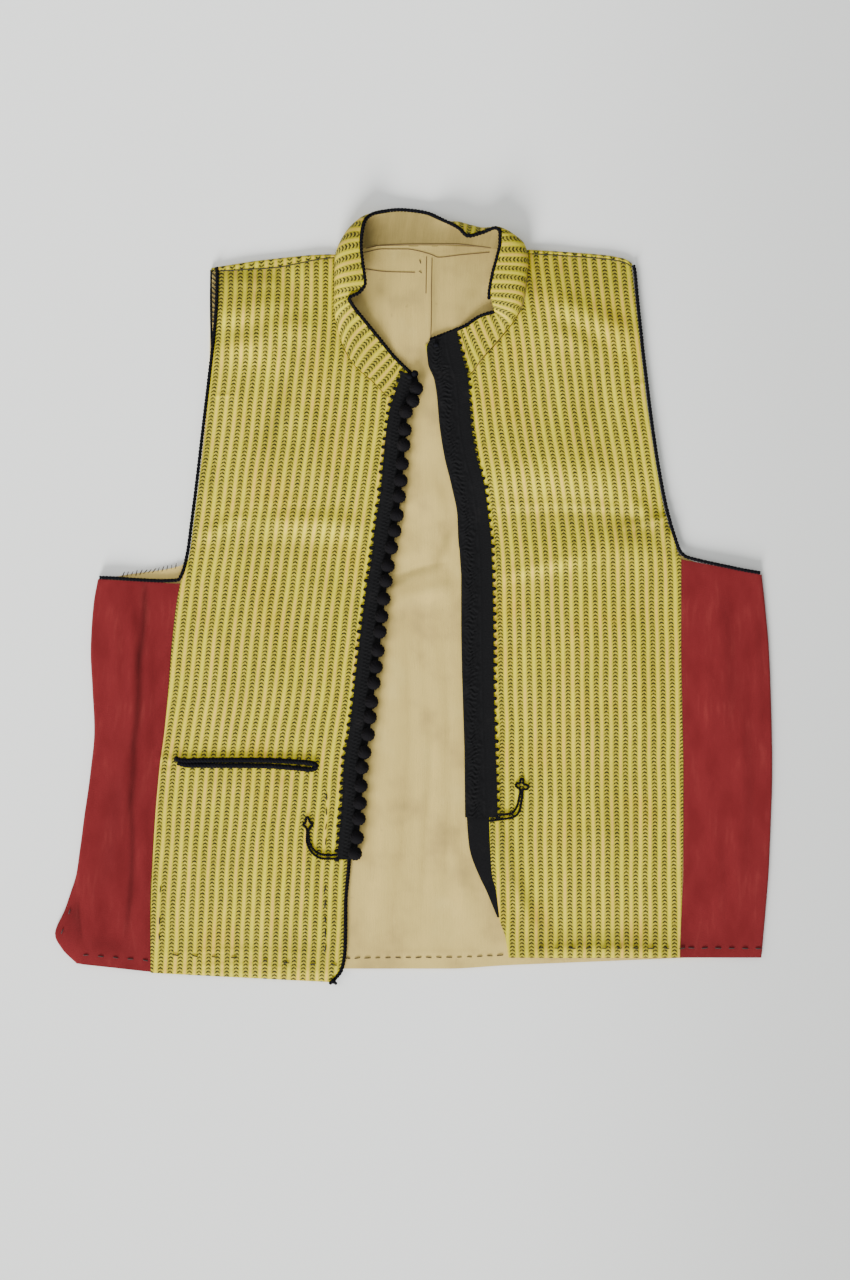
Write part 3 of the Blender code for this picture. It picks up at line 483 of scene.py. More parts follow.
def stripedTwill(name, brightness=1.0):
    rough, smoother = twill["rough"]
    finish = Finish(name, rough, sheen=0.03, specular=0.16)
    place, across, along = finish.clothPlace()
    drift = finish.noise(finish.at(across * 0.02, along / 55.0, 3.0), 1.0, 1.0)
    phase = (across + (drift - 0.5) * twill["stray"]) / twill["pitch"]
    line = phase.whole()
    fromCream = (phase.fraction() - 0.5).size() * twill["pitch"]
    fromHatch = ((phase + 0.5).fraction() - 0.5).size() * twill["pitch"]
    soft = twill["softness"]
    cream = 1 - fromCream.between(twill["creamHalf"] - soft, twill["creamHalf"] + soft)
    lime = 1 - fromCream.between(twill["limeHalf"] - soft, twill["limeHalf"] + soft)
    turn = 2 * math.pi / twill["hatchPitch"]
    blur = twill["hatchBlur"]
    hatch = ((along + fromHatch * twill["hatchSlope"]) * turn).sine().between(-blur, blur)
    worn = finish.noise(place, 9.0, 3.0, 0.6)
    tone = finish.noise(finish.at(line * 7.31, along / 34.0), 1.0, 2.0)
    thread = finish.noise(finish.at(across * 1.6, along / 2.6), 1.0, 2.0, 0.7)
    fleck = finish.noise(finish.at(across / 1.5, along / 2.1, 2.0), 1.0, 2.0, 0.7).between(0.28, 0.72)
    least, added = twill["hatchShow"]
    clear = worn.between(0.3, 0.7) * added + least
    share = twill["olive"]
    light = (hatch - 0.5) * clear + (fleck - 0.5) * share["fleck"]
    light = light + (worn - 0.5) * share["worn"] + share["middle"]
    olive = finish.mixed(twill["oliveDark"], twill["oliveLight"], light)
    pale = finish.mixed(twill["creamPink"], twill["creamGreen"], tone.between(0.36, 0.64))
    colour = finish.mixed(finish.mixed(olive, twill["lime"], lime), pale, cream)
    aged = finish.noise(finish.bodyPlace(), 46.0, 3.0, 0.6)
    colour = finish.tinted(colour, twill["golden"], aged.between(0.5, 0.72) * twill["goldenShare"])
    broad = finish.noise(finish.bodyPlace(), 85.0, 2.0)
    bands = finish.noise(finish.at(across / 11.0, along / 130.0, 7.0), 1.0, 2.0)
    share = twill["level"]
    level = (broad - 0.5) * share["broad"] + (worn - 0.5) * share["worn"]
    level = level + (thread - 0.5) * share["thread"] + (bands - 0.5) * share["bands"]
    # painted shade and light from the strokes, and darker towards the neck
    level = level + brightness - finish.darkening(*twill["darkening"])
    relief = twill["relief"]
    height = hatch * (1 - cream) * relief["hatch"] + cream * relief["cream"] + thread * relief["thread"]
    return finish.finished(finish.lit(colour, level), height, relief["depth"], rough - cream * smoother)


# The red side cloth

redCloth = {
    "thread": 0.85,
    "deep": paint(106, 28, 31),
    "plain": paint(113, 32, 35),
    "faded": paint(126, 43, 43),
    "lint": paint(156, 98, 84),
    "shares": {"faded": 0.7, "lint": 0.35, "weave": 0.05, "fleck": 0.3},
    "rough": (0.9, 0.06),  # and how much smoother it is where faded
    "depth": 0.2,
}


def plainRed(name):
    rough, smoother = redCloth["rough"]
    finish = Finish(name, rough, sheen=0.03, specular=0.1)
    place, across, along = finish.clothPlace()
    shares = redCloth["shares"]
    weave = finish.plainWeave(across, along, redCloth["thread"])
    patches = finish.noise(finish.at(across / 16.0, along / 34.0), 1.0, 3.0, 0.5)
    streaks = finish.noise(finish.at(across / 3.2, along / 22.0), 1.0, 2.0)
    fleck = finish.noise(place, 1.1, 2.0, 0.7)
    base = finish.mixed(redCloth["deep"], redCloth["plain"], patches.between(0.3, 0.56))
    faded = (patches * 0.6 + streaks * 0.4).between(0.52, 0.72)
    colour = finish.mixed(base, redCloth["faded"], faded * shares["faded"])
    colour = finish.mixed(colour, redCloth["lint"], fleck.between(0.73, 0.8) * shares["lint"])
    # the strokes make the red darker or lighter, as painted shade and light
    level = 1.0 + weave * shares["weave"] + (fleck - 0.5) * shares["fleck"] - finish.paintedShading()
    height = weave * 0.5 + fleck
    return finish.finished(finish.lit(colour, level), height, redCloth["depth"], rough - faded * smoother)


# The beige lining

liningCloth = {
    "thread": 0.9,
    "plain": paint(206, 181, 106),
    "aged": paint(176, 153, 93),
    "pale": paint(223, 202, 126),
    "stain": paint(148, 126, 80),
    "shares": {"pale": 0.6, "stain": 0.35, "weave": 0.03, "slubs": 0.12, "bands": 0.16},
    "darkening": (90, 270, 0.19),  # darker towards the neck: from and to these heights, and its depth
    "depth": 0.16,
}


def beigeLining(name, brightness=1.0):
    finish = Finish(name, 0.88, sheen=0.02, specular=0.1)
    place, across, along = finish.clothPlace()
    shares = liningCloth["shares"]
    weave = finish.plainWeave(across, along, liningCloth["thread"])
    broad = finish.noise(place, 48.0, 3.0, 0.6)
    slubs = finish.noise(finish.at(across / 1.2, along / 14.0), 1.0, 2.0, 0.6)
    spots = finish.noise(place, 7.0, 2.0, 0.5)
    colour = finish.mixed(liningCloth["plain"], liningCloth["aged"], broad.between(0.45, 0.75))
    colour = finish.mixed(colour, liningCloth["pale"], (1 - broad).between(0.55, 0.8) * shares["pale"])
    colour = finish.mixed(colour, liningCloth["stain"], spots.between(0.68, 0.8) * shares["stain"])
    bands = finish.noise(finish.at(across / 9.0, along / 150.0, 5.0), 1.0, 2.0)
    level = brightness + weave * shares["weave"] + (slubs - 0.5) * shares["slubs"]
    # painted shade and light from the strokes, and darker towards the neck
    level = level + (bands - 0.5) * shares["bands"] - finish.darkening(*liningCloth["darkening"])
    return finish.finished(finish.lit(colour, level), weave * 0.5 + slubs, liningCloth["depth"])


# The black trimmings

dusty = {"tone": paint(44, 42, 42), "share": 0.25}


def tonePair(tone, low, high):  # a darker and a lighter paint of one tone
    return [paint(*(value * share for value in tone)) for share in (low, high)]


def blackTrimming(name, tone, gloss, grain, depth):  # worsted braid, cord or ball
    finish = Finish(name, gloss, sheen=0.01, specular=0.03)
    place = finish.bodyPlace()
    fibre = finish.noise(place, grain, 3.0, 0.65)
    dust = finish.noise(place, grain * 9, 2.0)
    colour = finish.mixed(*tonePair(tone, 0.72, 1.35), fibre)
    colour = finish.mixed(colour, dusty["tone"], dust.between(0.55, 0.85) * dusty["share"])
    return finish.finished(colour, fibre, depth, gloss + (fibre - 0.5) * 0.2)


def sewingThread(name, tone):
    finish = Finish(name, 0.7, sheen=0.1)
    fibre = finish.noise(finish.bodyPlace(), 0.5, 2.0, 0.6)
    colour = finish.mixed(*tonePair(tone, 0.85, 1), fibre)
    return finish.finished(colour, fibre, 0.08)


def paleGround(name):
    finish = Finish(name, 0.92, specular=0.15)
    broad = finish.noise(finish.bodyPlace(), 260.0, 2.0)
    fine = finish.noise(finish.bodyPlace(), 2.5, 2.0)
    colour = finish.mixed(paint(*ground["tone"]), paint(*ground["shade"]), broad * 0.7)
    # painted shade: the floor darkens towards the right
    low, high, share = ground["paintedFalloff"]
    falloff = finish.node("ShaderNodeSeparateXYZ", None, {0: finish.bodyPlace()}, 0).between(low, high)
    colour = finish.lit(colour, 1 - falloff * share)
    return finish.finished(colour, fine, 0.03)


# Growing things along routes with node trees

def socketOf(modifier, name):  # a modifier's input is set by its socket's identifier
    for item in modifier.node_group.interface.items_tree:
        if item.item_type == "SOCKET" and item.in_out == "INPUT" and item.name == name:
            return item.identifier
    raise KeyError(name)


class Grower:  # a geometry node tree with named inputs
    def __init__(self, name, inputs):
        self.tree = bpy.data.node_groups.new(name, "GeometryNodeTree")
        self.tree.interface.new_socket("Routes", in_out="INPUT", socket_type="NodeSocketGeometry")
        for label, kind in inputs:
            self.tree.interface.new_socket(label, in_out="INPUT", socket_type=kind)
        self.tree.interface.new_socket("Grown", in_out="OUTPUT", socket_type="NodeSocketGeometry")
        self.given = self.tree.nodes.new("NodeGroupInput")
        self.result = self.tree.nodes.new("NodeGroupOutput")

    def node(self, kind, settings=None, values=None, output=0):  # with no output named, all of them
        made = self.tree.nodes.new(kind)
        for key, value in (settings or {}).items():
            setattr(made, key, value)
        for key, value in (values or {}).items():
            if isinstance(value, bpy.types.NodeSocket):
                self.tree.links.new(value, made.inputs[key])
            else:
                made.inputs[key].default_value = value
        return made.outputs if output is None else made.outputs[output]

    def maths(self, operation, first, second=0.0):
        return self.node("ShaderNodeMath", {"operation": operation}, {0: first, 1: second})

    def close(self, geometry, material):  # realize, set the material and end the tree
        real = self.node("GeometryNodeRealizeInstances", None, {0: geometry})
        smooth = self.node("GeometryNodeSetShadeSmooth", None, {0: real})
        painted = self.node("GeometryNodeSetMaterial", None, {"Geometry": smooth, "Material": material})
        self.tree.links.new(painted, self.result.inputs[0])


grownForm = {
    "stepsPerTurn": 9.0, "strandSides": 6,
    "copySizes": (0.84, 1.12),  # of the copies in a row, at random
    "tilt": 0.5, "spin": 6.28,  # of the copies at points, in radians
}


def cordTree():  # strands twisted round each route
    grow = Grower("twistedCord", (
        ("Strands", "NodeSocketInt"), ("Strand Radius", "NodeSocketFloat"), ("Spread", "NodeSocketFloat"),
        ("Twist Pitch", "NodeSocketFloat"), ("Material", "NodeSocketMaterial"),
    ))
    given = grow.given.outputs
    line = grow.node("GeometryNodeMeshToCurve", None, {0: given["Routes"]})
    step = grow.maths("DIVIDE", given["Twist Pitch"], grownForm["stepsPerTurn"])
    even = grow.node("GeometryNodeResampleCurve", {"mode": "LENGTH"}, {"Curve": line, "Length": step})
    repeat = {"Geometry": even, "Amount": given["Strands"]}
    copies = grow.node("GeometryNodeDuplicateElements", {"domain": "SPLINE"}, repeat, None)
    length = grow.node("GeometryNodeSplineParameter", output="Length")
    turns = grow.maths("DIVIDE", length, given["Twist Pitch"])
    share = grow.maths("DIVIDE", copies["Duplicate Index"], given["Strands"])
    angle = grow.maths("MULTIPLY", grow.maths("ADD", turns, share), 2 * math.pi)
    normal = grow.node("GeometryNodeInputNormal")
    tangent = grow.node("GeometryNodeInputTangent")
    side = grow.node("ShaderNodeVectorMath", {"operation": "CROSS_PRODUCT"}, {0: tangent, 1: normal})
    parts = []
    for axis, wave in ((normal, "COSINE"), (side, "SINE")):
        reach = grow.maths("MULTIPLY", grow.maths(wave, angle), given["Spread"])
        parts.append(grow.node("ShaderNodeVectorMath", {"operation": "SCALE"}, {0: axis, "Scale": reach}))
    offset = grow.node("ShaderNodeVectorMath", {"operation": "ADD"}, {0: parts[0], 1: parts[1]})
    moved = grow.node("GeometryNodeSetPosition", None, {"Geometry": copies["Geometry"], "Offset": offset})
    circle = {"Resolution": grownForm["strandSides"], "Radius": given["Strand Radius"]}
    ring = grow.node("GeometryNodeCurvePrimitiveCircle", {"mode": "RADIUS"}, circle)
    tube = grow.node("GeometryNodeCurveToMesh", None, {0: moved, 1: ring, "Fill Caps": True})
    grow.close(tube, given["Material"])
    return grow.tree


def rowTree():  # copies of a small object, set in a row along each route
    grow = Grower("rowAlongRoute", (
        ("Copy", "NodeSocketObject"), ("Spacing", "NodeSocketFloat"), ("Turn", "NodeSocketFloat"),
        ("Unevenness", "NodeSocketFloat"), ("Seed", "NodeSocketInt"), ("Material", "NodeSocketMaterial"),
    ))
    given = grow.given.outputs
    line = grow.node("GeometryNodeMeshToCurve", None, {0: given["Routes"]})
    dots = grow.node(
        "GeometryNodeCurveToPoints", {"mode": "LENGTH"}, {"Curve": line, "Length": given["Spacing"]}, None
    )
    flat = grow.node("FunctionNodeAlignRotationToVector", {"axis": "X"}, {"Vector": dots["Tangent"]})
    upright = grow.node(
        "FunctionNodeAlignRotationToVector", {"axis": "Z", "pivot_axis": "X"},
        {"Rotation": flat, "Vector": (0, 0, 1)},
    )
    low = grow.maths("MULTIPLY", given["Unevenness"], -1.0)
    span = {2: low, 3: given["Unevenness"], "Seed": given["Seed"]}
    jitter = grow.node("FunctionNodeRandomValue", {"data_type": "FLOAT"}, span, 1)
    slant = grow.maths("ADD", given["Turn"], jitter)
    twist = grow.node("FunctionNodeAxisAngleToRotation", None, {"Axis": (0, 0, 1), "Angle": slant})
    turned = grow.node(
        "FunctionNodeRotateRotation", {"rotation_space": "LOCAL"}, {"Rotation": upright, "Rotate By": twist}
    )
    least, most = grownForm["copySizes"]
    span = {2: least, 3: most, "Seed": grow.maths("ADD", given["Seed"], 7.0)}
    size = grow.node("FunctionNodeRandomValue", {"data_type": "FLOAT"}, span, 1)
    copy = grow.node("GeometryNodeObjectInfo", None, {"Object": given["Copy"]}, "Geometry")
    row = grow.node(
        "GeometryNodeInstanceOnPoints", None,
        {"Points": dots["Points"], "Instance": copy, "Rotation": turned, "Scale": size},
    )
    grow.close(row, given["Material"])
    return grow.tree


def dotTree():  # a copy of a small object at every point, each turned its own way
    grow = Grower("copyAtPoint", (
        ("Copy", "NodeSocketObject"), ("Seed", "NodeSocketInt"), ("Material", "NodeSocketMaterial"),
    ))
    given = grow.given.outputs
    tilt, spin = grownForm["tilt"], grownForm["spin"]
    span = {0: (-tilt, -tilt, 0.0), 1: (tilt, tilt, spin), "Seed": given["Seed"]}
    turn = grow.node("FunctionNodeRandomValue", {"data_type": "FLOAT_VECTOR"}, span)
    rotation = grow.node("FunctionNodeEulerToRotation", None, {0: turn})
    size = grow.node("GeometryNodeInputNamedAttribute", {"data_type": "FLOAT"}, {"Name": "size"})
    copy = grow.node("GeometryNodeObjectInfo", None, {"Object": given["Copy"]}, "Geometry")
    dots = grow.node(
        "GeometryNodeInstanceOnPoints", None,
        {"Points": given["Routes"], "Instance": copy, "Rotation": rotation, "Scale": size},
    )
    grow.close(dots, given["Material"])
    return grow.tree


def grown(name, source, tree, values):  # the tree's result as a plain mesh object
    modifier = source.modifiers.new("grow", "NODES")
    modifier.node_group = tree
    for label, value in values.items():
        modifier[socketOf(modifier, label)] = value
    bpy.context.view_layer.update()
    graph = bpy.context.evaluated_depsgraph_get()
    mesh = bpy.data.meshes.new_from_object(source.evaluated_get(graph), depsgraph=graph)
    mesh.name = name
    source.modifiers.remove(modifier)
    bpy.data.objects.remove(source)
    return addObject(name, mesh)


def twisted(name, routes, kind, material):  # a cord along each route
    values = {
        "Strands": kind["strands"], "Strand Radius": kind["radius"] * mm, "Spread": kind["spread"] * mm,
        "Twist Pitch": kind["twist"] * mm, "Material": material,
    }
    return grown(name, routeObject(name + "Route", routes), growCord, values)


def inRow(name, copy, routes, spec, seed, material):  # copies of a small object along each route
    values = {
        "Copy": copy, "Spacing": spec["spacing"] * mm, "Turn": spec["turn"], "Unevenness": spec["unevenness"],
        "Seed": seed, "Material": material,
    }
    row = grown(name, routeObject(name + "Route", routes), growRow, values)
    bpy.data.objects.remove(copy)
    return row


def atPlaces(name, copy, places, sizes, seed, material):  # a copy of a small object at each place
    mesh = bpy.data.meshes.new(name + "Places")
    mesh.from_pydata((np.array(places) * mm).tolist(), [], [])
    mesh.attributes.new("size", "FLOAT", "POINT").data.foreach_set("value", sizes)
    values = {"Copy": copy, "Seed": seed, "Material": material}
    made = grown(name, addObject(name + "Places", mesh), growDots, values)
    bpy.data.objects.remove(copy)
    return made


# The floor, the camera and the light

ground = {
    "tone": (239, 240, 239), "shade": (235, 236, 234), "half": 2.2,
    "paintedFalloff": (20, 340, 0.22),  # painted shade: the paper darkens from here to there on the x axis, by this share, as less light reaches it
}

view = {
    "centre": (0.0091, -0.0331),  # what the middle of the picture looks at
    "tall": 0.973,  # height of floor in the picture
    "lens": 60.0,
    "sensor": 36.0,
}

lamps = {
    "key": {"from": (-0.24, -0.89, 0.4), "angle": 0.42, "strength": 7.3, "tint": (1.0, 1.0, 0.985)},
    "side": {"place": (-1.5, 0.3, 1.2), "size": 1.2, "power": 16.0, "tint": (1.0, 1.0, 0.99)},
    "sky": (0.985, 1.0, 0.99),
    "skyStrength": 0.76,
}


def addLamp(name, kind, spec, place):
    light = bpy.data.lights.new(name, kind)
    light.color = spec["tint"]
    lamp = bpy.data.objects.new(name, light)
    lamp.location = place
    lamp.rotation_euler = Vector(place).to_track_quat("Z", "Y").to_euler()
    bpy.context.scene.collection.objects.link(lamp)
    return light


def makeView():
    scene = bpy.context.scene
    data = bpy.data.cameras.new("camera")
    data.sensor_fit = "VERTICAL"
    data.sensor_height = view["sensor"]
    data.lens = view["lens"]
    camera = bpy.data.objects.new("camera", data)
    camera.location = (*view["centre"], view["tall"] * view["lens"] / view["sensor"])
    scene.collection.objects.link(camera)
    scene.camera = camera
    key = addLamp("key", "SUN", lamps["key"], lamps["key"]["from"])  # a large soft lamp, far off
    key.energy = lamps["key"]["strength"]
    key.angle = lamps["key"]["angle"]
    side = addLamp("side", "AREA", lamps["side"], lamps["side"]["place"])
    side.energy = lamps["side"]["power"]
    side.size = lamps["side"]["size"]
    world = bpy.data.worlds.new("sky")
    world.use_nodes = True
    sky = world.node_tree.nodes["Background"]
    sky.inputs["Color"].default_value = (*lamps["sky"], 1)
    sky.inputs["Strength"].default_value = lamps["skyStrength"]
    scene.world = world
    half = ground["half"]
    corners = [(-half, -half, 0), (half, -half, 0), (half, half, 0), (-half, half, 0)]
    floor = bpy.data.meshes.new("floor")
    floor.from_pydata(corners, [], [(0, 1, 2, 3)])
    addObject("floor", floor, paleGround("Pale ground"))


makeView()
print("view and light ready")

stripedCloth = stripedTwill("Striped yellow twill", 0.97)
redWeave = plainRed("Red plain weave")
liningWeave = beigeLining("Beige lining cotton")
collarCloth = stripedTwill("Striped yellow twill, collar", 0.84)
# the collar's lining is a darker copy of the lining: painted shade inside the standing collar
shadedCollarWeave = beigeLining("Beige lining cotton, collar, painted shade", 0.6)
blackBraid = blackTrimming("Black braid", (20, 20, 21), 0.8, 1.3, 0.22)
blackWool = blackTrimming("Black wool", (16, 16, 20), 0.82, 0.7, 0.18)
ballWool = blackTrimming("Black ball cover", (17, 16, 18), 0.84, 0.8, 0.3)
oliveThread = sewingThread("Olive thread", (34, 33, 20))
darkThread = sewingThread("Dark thread", (44, 30, 28))
seamAndShadowThread = sewingThread("Brown seam thread and shadow line", (92, 70, 40))
growCord, growRow, growDots = cordTree(), rowTree(), dotTree()
print("materials and node trees ready")


def trimBelongs(thing, nodes, slot):  # every piece hangs from the root, and the parts of the model it stands for are hidden
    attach(thing, "root")
    if nodes:
        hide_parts(*nodes)


def clothBelongs(thing, node, slot, flat, area):  # the same for a cloth piece
    trimBelongs(thing, [node], slot)


# The fronts

shoulders = {
    "right": ((-153, 249.5), (-113, 255.5), (-70, 259.5), (-58, 259.8)),
    "left": ((85, 263.5), (142, 259.5), (160, 256.5), (169, 250.5)),
    "seamDrops": (
        (-153, 3.4), (-130, 5.8), (-104, 7.6), (-86, 6.2), (-70, 4.2), (-57, 3.2), (85, 3.8), (169, 3.4),
    ),
    "seamGap": 0.7,
    "foldRadius": 1.4,
    "outset": 0.55,  # from the middle of the folded cloth to the outline
    "before": (4, 2.4, 1.2),  # rows before the bend: how far from it they lie
}


def shoulderFold(x):
    return np.where(x < 0, curve(shoulders["right"], x), curve(shoulders["left"], x))


def seamDrop(x):  # from the shoulder's fold to the seam on top
    return curve(shoulders["seamDrops"], x)


def edgeDip(distance):  # a seam pulls the cloth's edge down a little
    return layers["edgeRoll"] * np.exp(-(distance / layers["rollWidth"]) ** 2)


frontRight = {
    "name": "frontRight", "node": "front_right", "columns": 74, "step": 2.0,
    "flat": (0.19, 0.552), "area": 0.0782,
    "grain": (
        (-294, -55.0), (-238, -52.6), (-132, -44.6), (-71, -36.0), (17, -25.6), (89, -15.0), (147, -8.0),
        (190, -3.6), (230, -1.6), (262, -1.2),
    ),
    "rows": named(Row, (
        (-147.5, 245.5, -60.2, 254.6), (-148.5, 229, -60.2, 231), (-149.5, 214, -59.7, 214.5),
        (-150.5, 203.5, -57.6, 203.5), (-151.2, 188, -52.6, 188), (-152.2, 176, -44.8, 175.2),
        (-153.5, 164.5, -31.8, 163.6), (-155, 153.5, -19.8, 152), (-155.8, 147, -8, 147),
        (-158, 125, -11.8, 125), (-162, 89, -15, 88.5), (-166, 58, -18.4, 58), (-169.5, 32, -23.6, 31.5),
        (-173.5, 17, -25.6, 17), (-176.2, 10, -26.6, 10), (-179.2, -6.5, -29, -6.5),
        (-182.3, -33, -31.6, -33), (-185.3, -71, -36, -71), (-188.3, -101.5, -39.5, -101.5),
        (-192.3, -132, -44.6, -132), (-195.3, -166, -46.6, -166), (-197.3, -200.5, -50, -200.5),
        (-198.8, -238.5, -52.6, -238.5), (-199, -268, -53, -268), (-199, -279, -54.8, -282),
        (-199, -283, -57.2, -288.2), (-199, -285.5, -62, -292.8),
    )),
}

frontLeft = {
    "name": "frontLeft", "node": "front_left", "columns": 80, "step": 2.0,
    "flat": (0.178, 0.536), "area": 0.0782,
    "grain": (
        (-276, 47.0), (-120, 46.0), (-45, 45.0), (27, 43.4), (58, 40.6), (89, 36.4), (125, 31.0), (161, 26.0),
        (200, 21.0), (262, 14.0),
    ),
    "rows": named(Row, (
        (87.8, 258.8, 166, 246.5), (86.8, 240.5, 168.3, 229), (84.8, 225, 169.8, 214),
        (78.8, 211, 171, 203), (71.4, 201.4, 172, 193), (62, 190, 173, 182), (52, 179, 174.3, 172),
        (43.4, 168, 175.6, 161), (27, 161.4, 176.8, 150), (28.5, 125, 181, 119), (35, 89, 186, 88.5),
        (41, 58, 192.5, 58), (43, 36, 200.6, 34.5), (43.4, 27, 203.2, 27), (44.5, 0, 203.2, -2.5),
        (46.5, -45, 203.2, -45), (49, -90, 203.8, -90), (53, -125, 204.8, -125), (57.5, -160, 204.8, -160),
        (58.5, -189, 204.6, -190), (60, -211.5, 204, -212), (63, -223, 203.8, -225), (66, -246, 203, -247),
        (70, -258, 202.6, -260), (72.5, -274, 202.2, -274),
    )),
}


def makeFront(spec):
    x, y, at = ruled(spec["rows"], np.linspace(0, 1, spec["columns"]), spec["step"])
    seam = shoulderFold(x[0]) - seamDrop(x[0])
    y = y + (seam - y[0])[None, :] * np.clip(1 - at, 0, 1)[:, None]
    sides = edgeDip(x - x[:, :1]) + edgeDip(x[:, -1:] - x)
    z = topHeight(x, y) - sides - edgeDip(y[:1] - y)
    uv = np.stack([x - curve(spec["grain"], y), y], axis=-1)
    piece = clothPiece(spec["name"], gridOf(x, y, z), uv, stripedCloth)
    addPaintedShading(piece, topPaintedShading)
    clothBelongs(piece, spec["node"], "striped_yellow_twill", spec["flat"], spec["area"])


makeFront(frontRight)
makeFront(frontLeft)
print("fronts ready")


# The black facing that shows below the left band

facing = {
    "name": "bandFacing", "flat": (0.018, 0.405), "area": 0.0036, "columns": 9, "step": 2.4, "under": 0.1,
    "rows": named(Row, (
        (19.5, 156, 26.7, 156), (21.5, 125, 28.2, 125), (28.5, 89, 34.7, 89), (34.3, 58, 40.7, 58),
        (35.5, 31.5, 42.8, 31.5), (37.3, 0, 44.2, 0), (37.8, -45, 46.2, -45), (39.3, -90, 48.7, -90),
        (39.8, -125, 52.7, -125), (40.5, -160, 57.2, -160), (42.5, -189, 58.2, -189),
        (50, -211.5, 59.7, -211.5), (55.5, -223, 62.7, -223), (64, -243.5, 65.4, -243.5),
    )),
}


def makeFacing():
    x, y = ruled(facing["rows"], np.linspace(0, 1, facing["columns"]), facing["step"])[:2]
    uv = np.stack([x, y], axis=-1)
    piece = clothPiece(facing["name"], gridOf(x, y, topHeight(x, y) - facing["under"]), uv, blackBraid)
    clothBelongs(piece, "band_facing", "black_trimming", facing["flat"], facing["area"])


makeFacing()


# The red side panels, folded round the sides

sideRight = {
    "name": "sidePanelRight", "node": "side_panel_right",
    "underX": -203.0, "flat": (0.136, 0.304), "area": 0.0322,
    "rows": named(SideRow, (
        (-176.7, 9.6, -235, -239, 13, 18, 0), (-179.6, -6.5, -238.5, -242.5, -6.5, -4, 0),
        (-183.4, -40.5, -240.5, -244.5, -40.5, -40.5, 0), (-185.7, -71, -239, -243, -71, -71, 0),
        (-188.7, -101.5, -237.5, -241.5, -101.5, -101.5, 0), (-192.7, -132, -240.5, -244.5, -132, -132, 0),
        (-195.7, -166, -245.5, -249.5, -166, -166, 0), (-197.3, -189, -248.5, -252.5, -189, -189, 0),
        (-198.6, -212, -252, -256, -212, -212, 0.2), (-199.2, -222, -254, -259.5, -222, -222, 0.9),
        (-199.4, -238, -253.5, -265, -238, -237, 1), (-199.4, -256, -251.5, -272.5, -256, -255, 1),
        (-199.2, -268, -250.5, -267, -267.5, -267, 1), (-199.1, -284.8, -250, -256, -278.5, -281.5, 1),
    )),
}

sideLeft = {
    "name": "sidePanelLeft", "node": "side_panel_left",
    "underX": 228.0, "flat": (0.112, 0.303), "area": 0.0318,
    "rows": named(SideRow, (
        (203.6, 28, 260.5, 264.5, 16.5, 22, 0), (203.6, -6.5, 263, 267, -6.5, -5, 0),
        (203.6, -40.5, 266, 270, -40.5, -40.5, 0), (204.2, -78.5, 267.5, 271.5, -78.5, -78.5, 0),
        (205.2, -132, 268.5, 272.5, -132, -132, 0), (205.2, -173.5, 267.5, 271.5, -173.5, -173.5, 0),
        (205, -208, 266, 270, -208, -208, 0), (203.8, -240, 263.5, 267.5, -240, -240, 0),
        (202.6, -274, 260.5, 264.5, -274, -274, 0),
    )),
}


sideForm = {
    "step": 2.6, "topColumns": 32, "bendColumns": 11, "underColumns": 11,
    "flatEnd": 1.6,  # from the crease to the bend, where the panel isn't pressed flat
    "pressed": 1.0,  # how far below the top layer a pressed edge lies
}


def makeSide(spec):
    seamX, seamY, creaseX, foldX, foldY, underY, drop = sections(spec["rows"], sideForm["step"])[0]
    wall = layers["wall"]
    inward = np.sign(seamX - foldX)
    bendX = foldX + inward * (shoulders["foldRadius"] + wall / 2)
    creaseX = np.where(drop > 0, creaseX, bendX + inward * sideForm["flatEnd"])
    topX = seamX + (creaseX - seamX) * np.linspace(0, 1, sideForm["topColumns"])[None, :]
    topY = seamY + (foldY - seamY) * (topX - seamX) / (foldX - seamX)
    topZ = topHeight(topX, topY)
    ended = topZ[:, -1:] - drop * (topZ[:, -1:] - layers["topMiddle"] + sideForm["pressed"])
    turn = np.radians(np.linspace(0, 180, sideForm["bendColumns"]))[None, :]
    radius = (ended - layers["backMiddle"]) / 2
    bend = bendX - inward * radius * np.sin(turn)
    bendZ = layers["backMiddle"] + radius * (1 + np.cos(turn))
    share = np.linspace(0, 1, sideForm["underColumns"] + 1)[None, 1:]
    underX = bendX + (spec["underX"] - bendX) * share
    x = np.hstack([topX, bend, underX])
    y = np.hstack([topY, np.repeat(foldY, turn.shape[1], axis=1), foldY + (underY - foldY) * share])
    z = np.hstack([topZ - edgeDip(np.abs(topX - seamX)), bendZ, np.full_like(underX, layers["backMiddle"])])
    points = gridOf(x, y, z)
    piece = clothPiece(spec["name"], points, np.stack([travelled(points, 1), y], axis=-1), redWeave)
    addPaintedShading(piece, topPaintedShading)
    clothBelongs(piece, spec["node"], "red_plain_weave", spec["flat"], spec["area"])


makeSide(sideRight)
makeSide(sideLeft)
print("side panels ready")


# The back and its lining

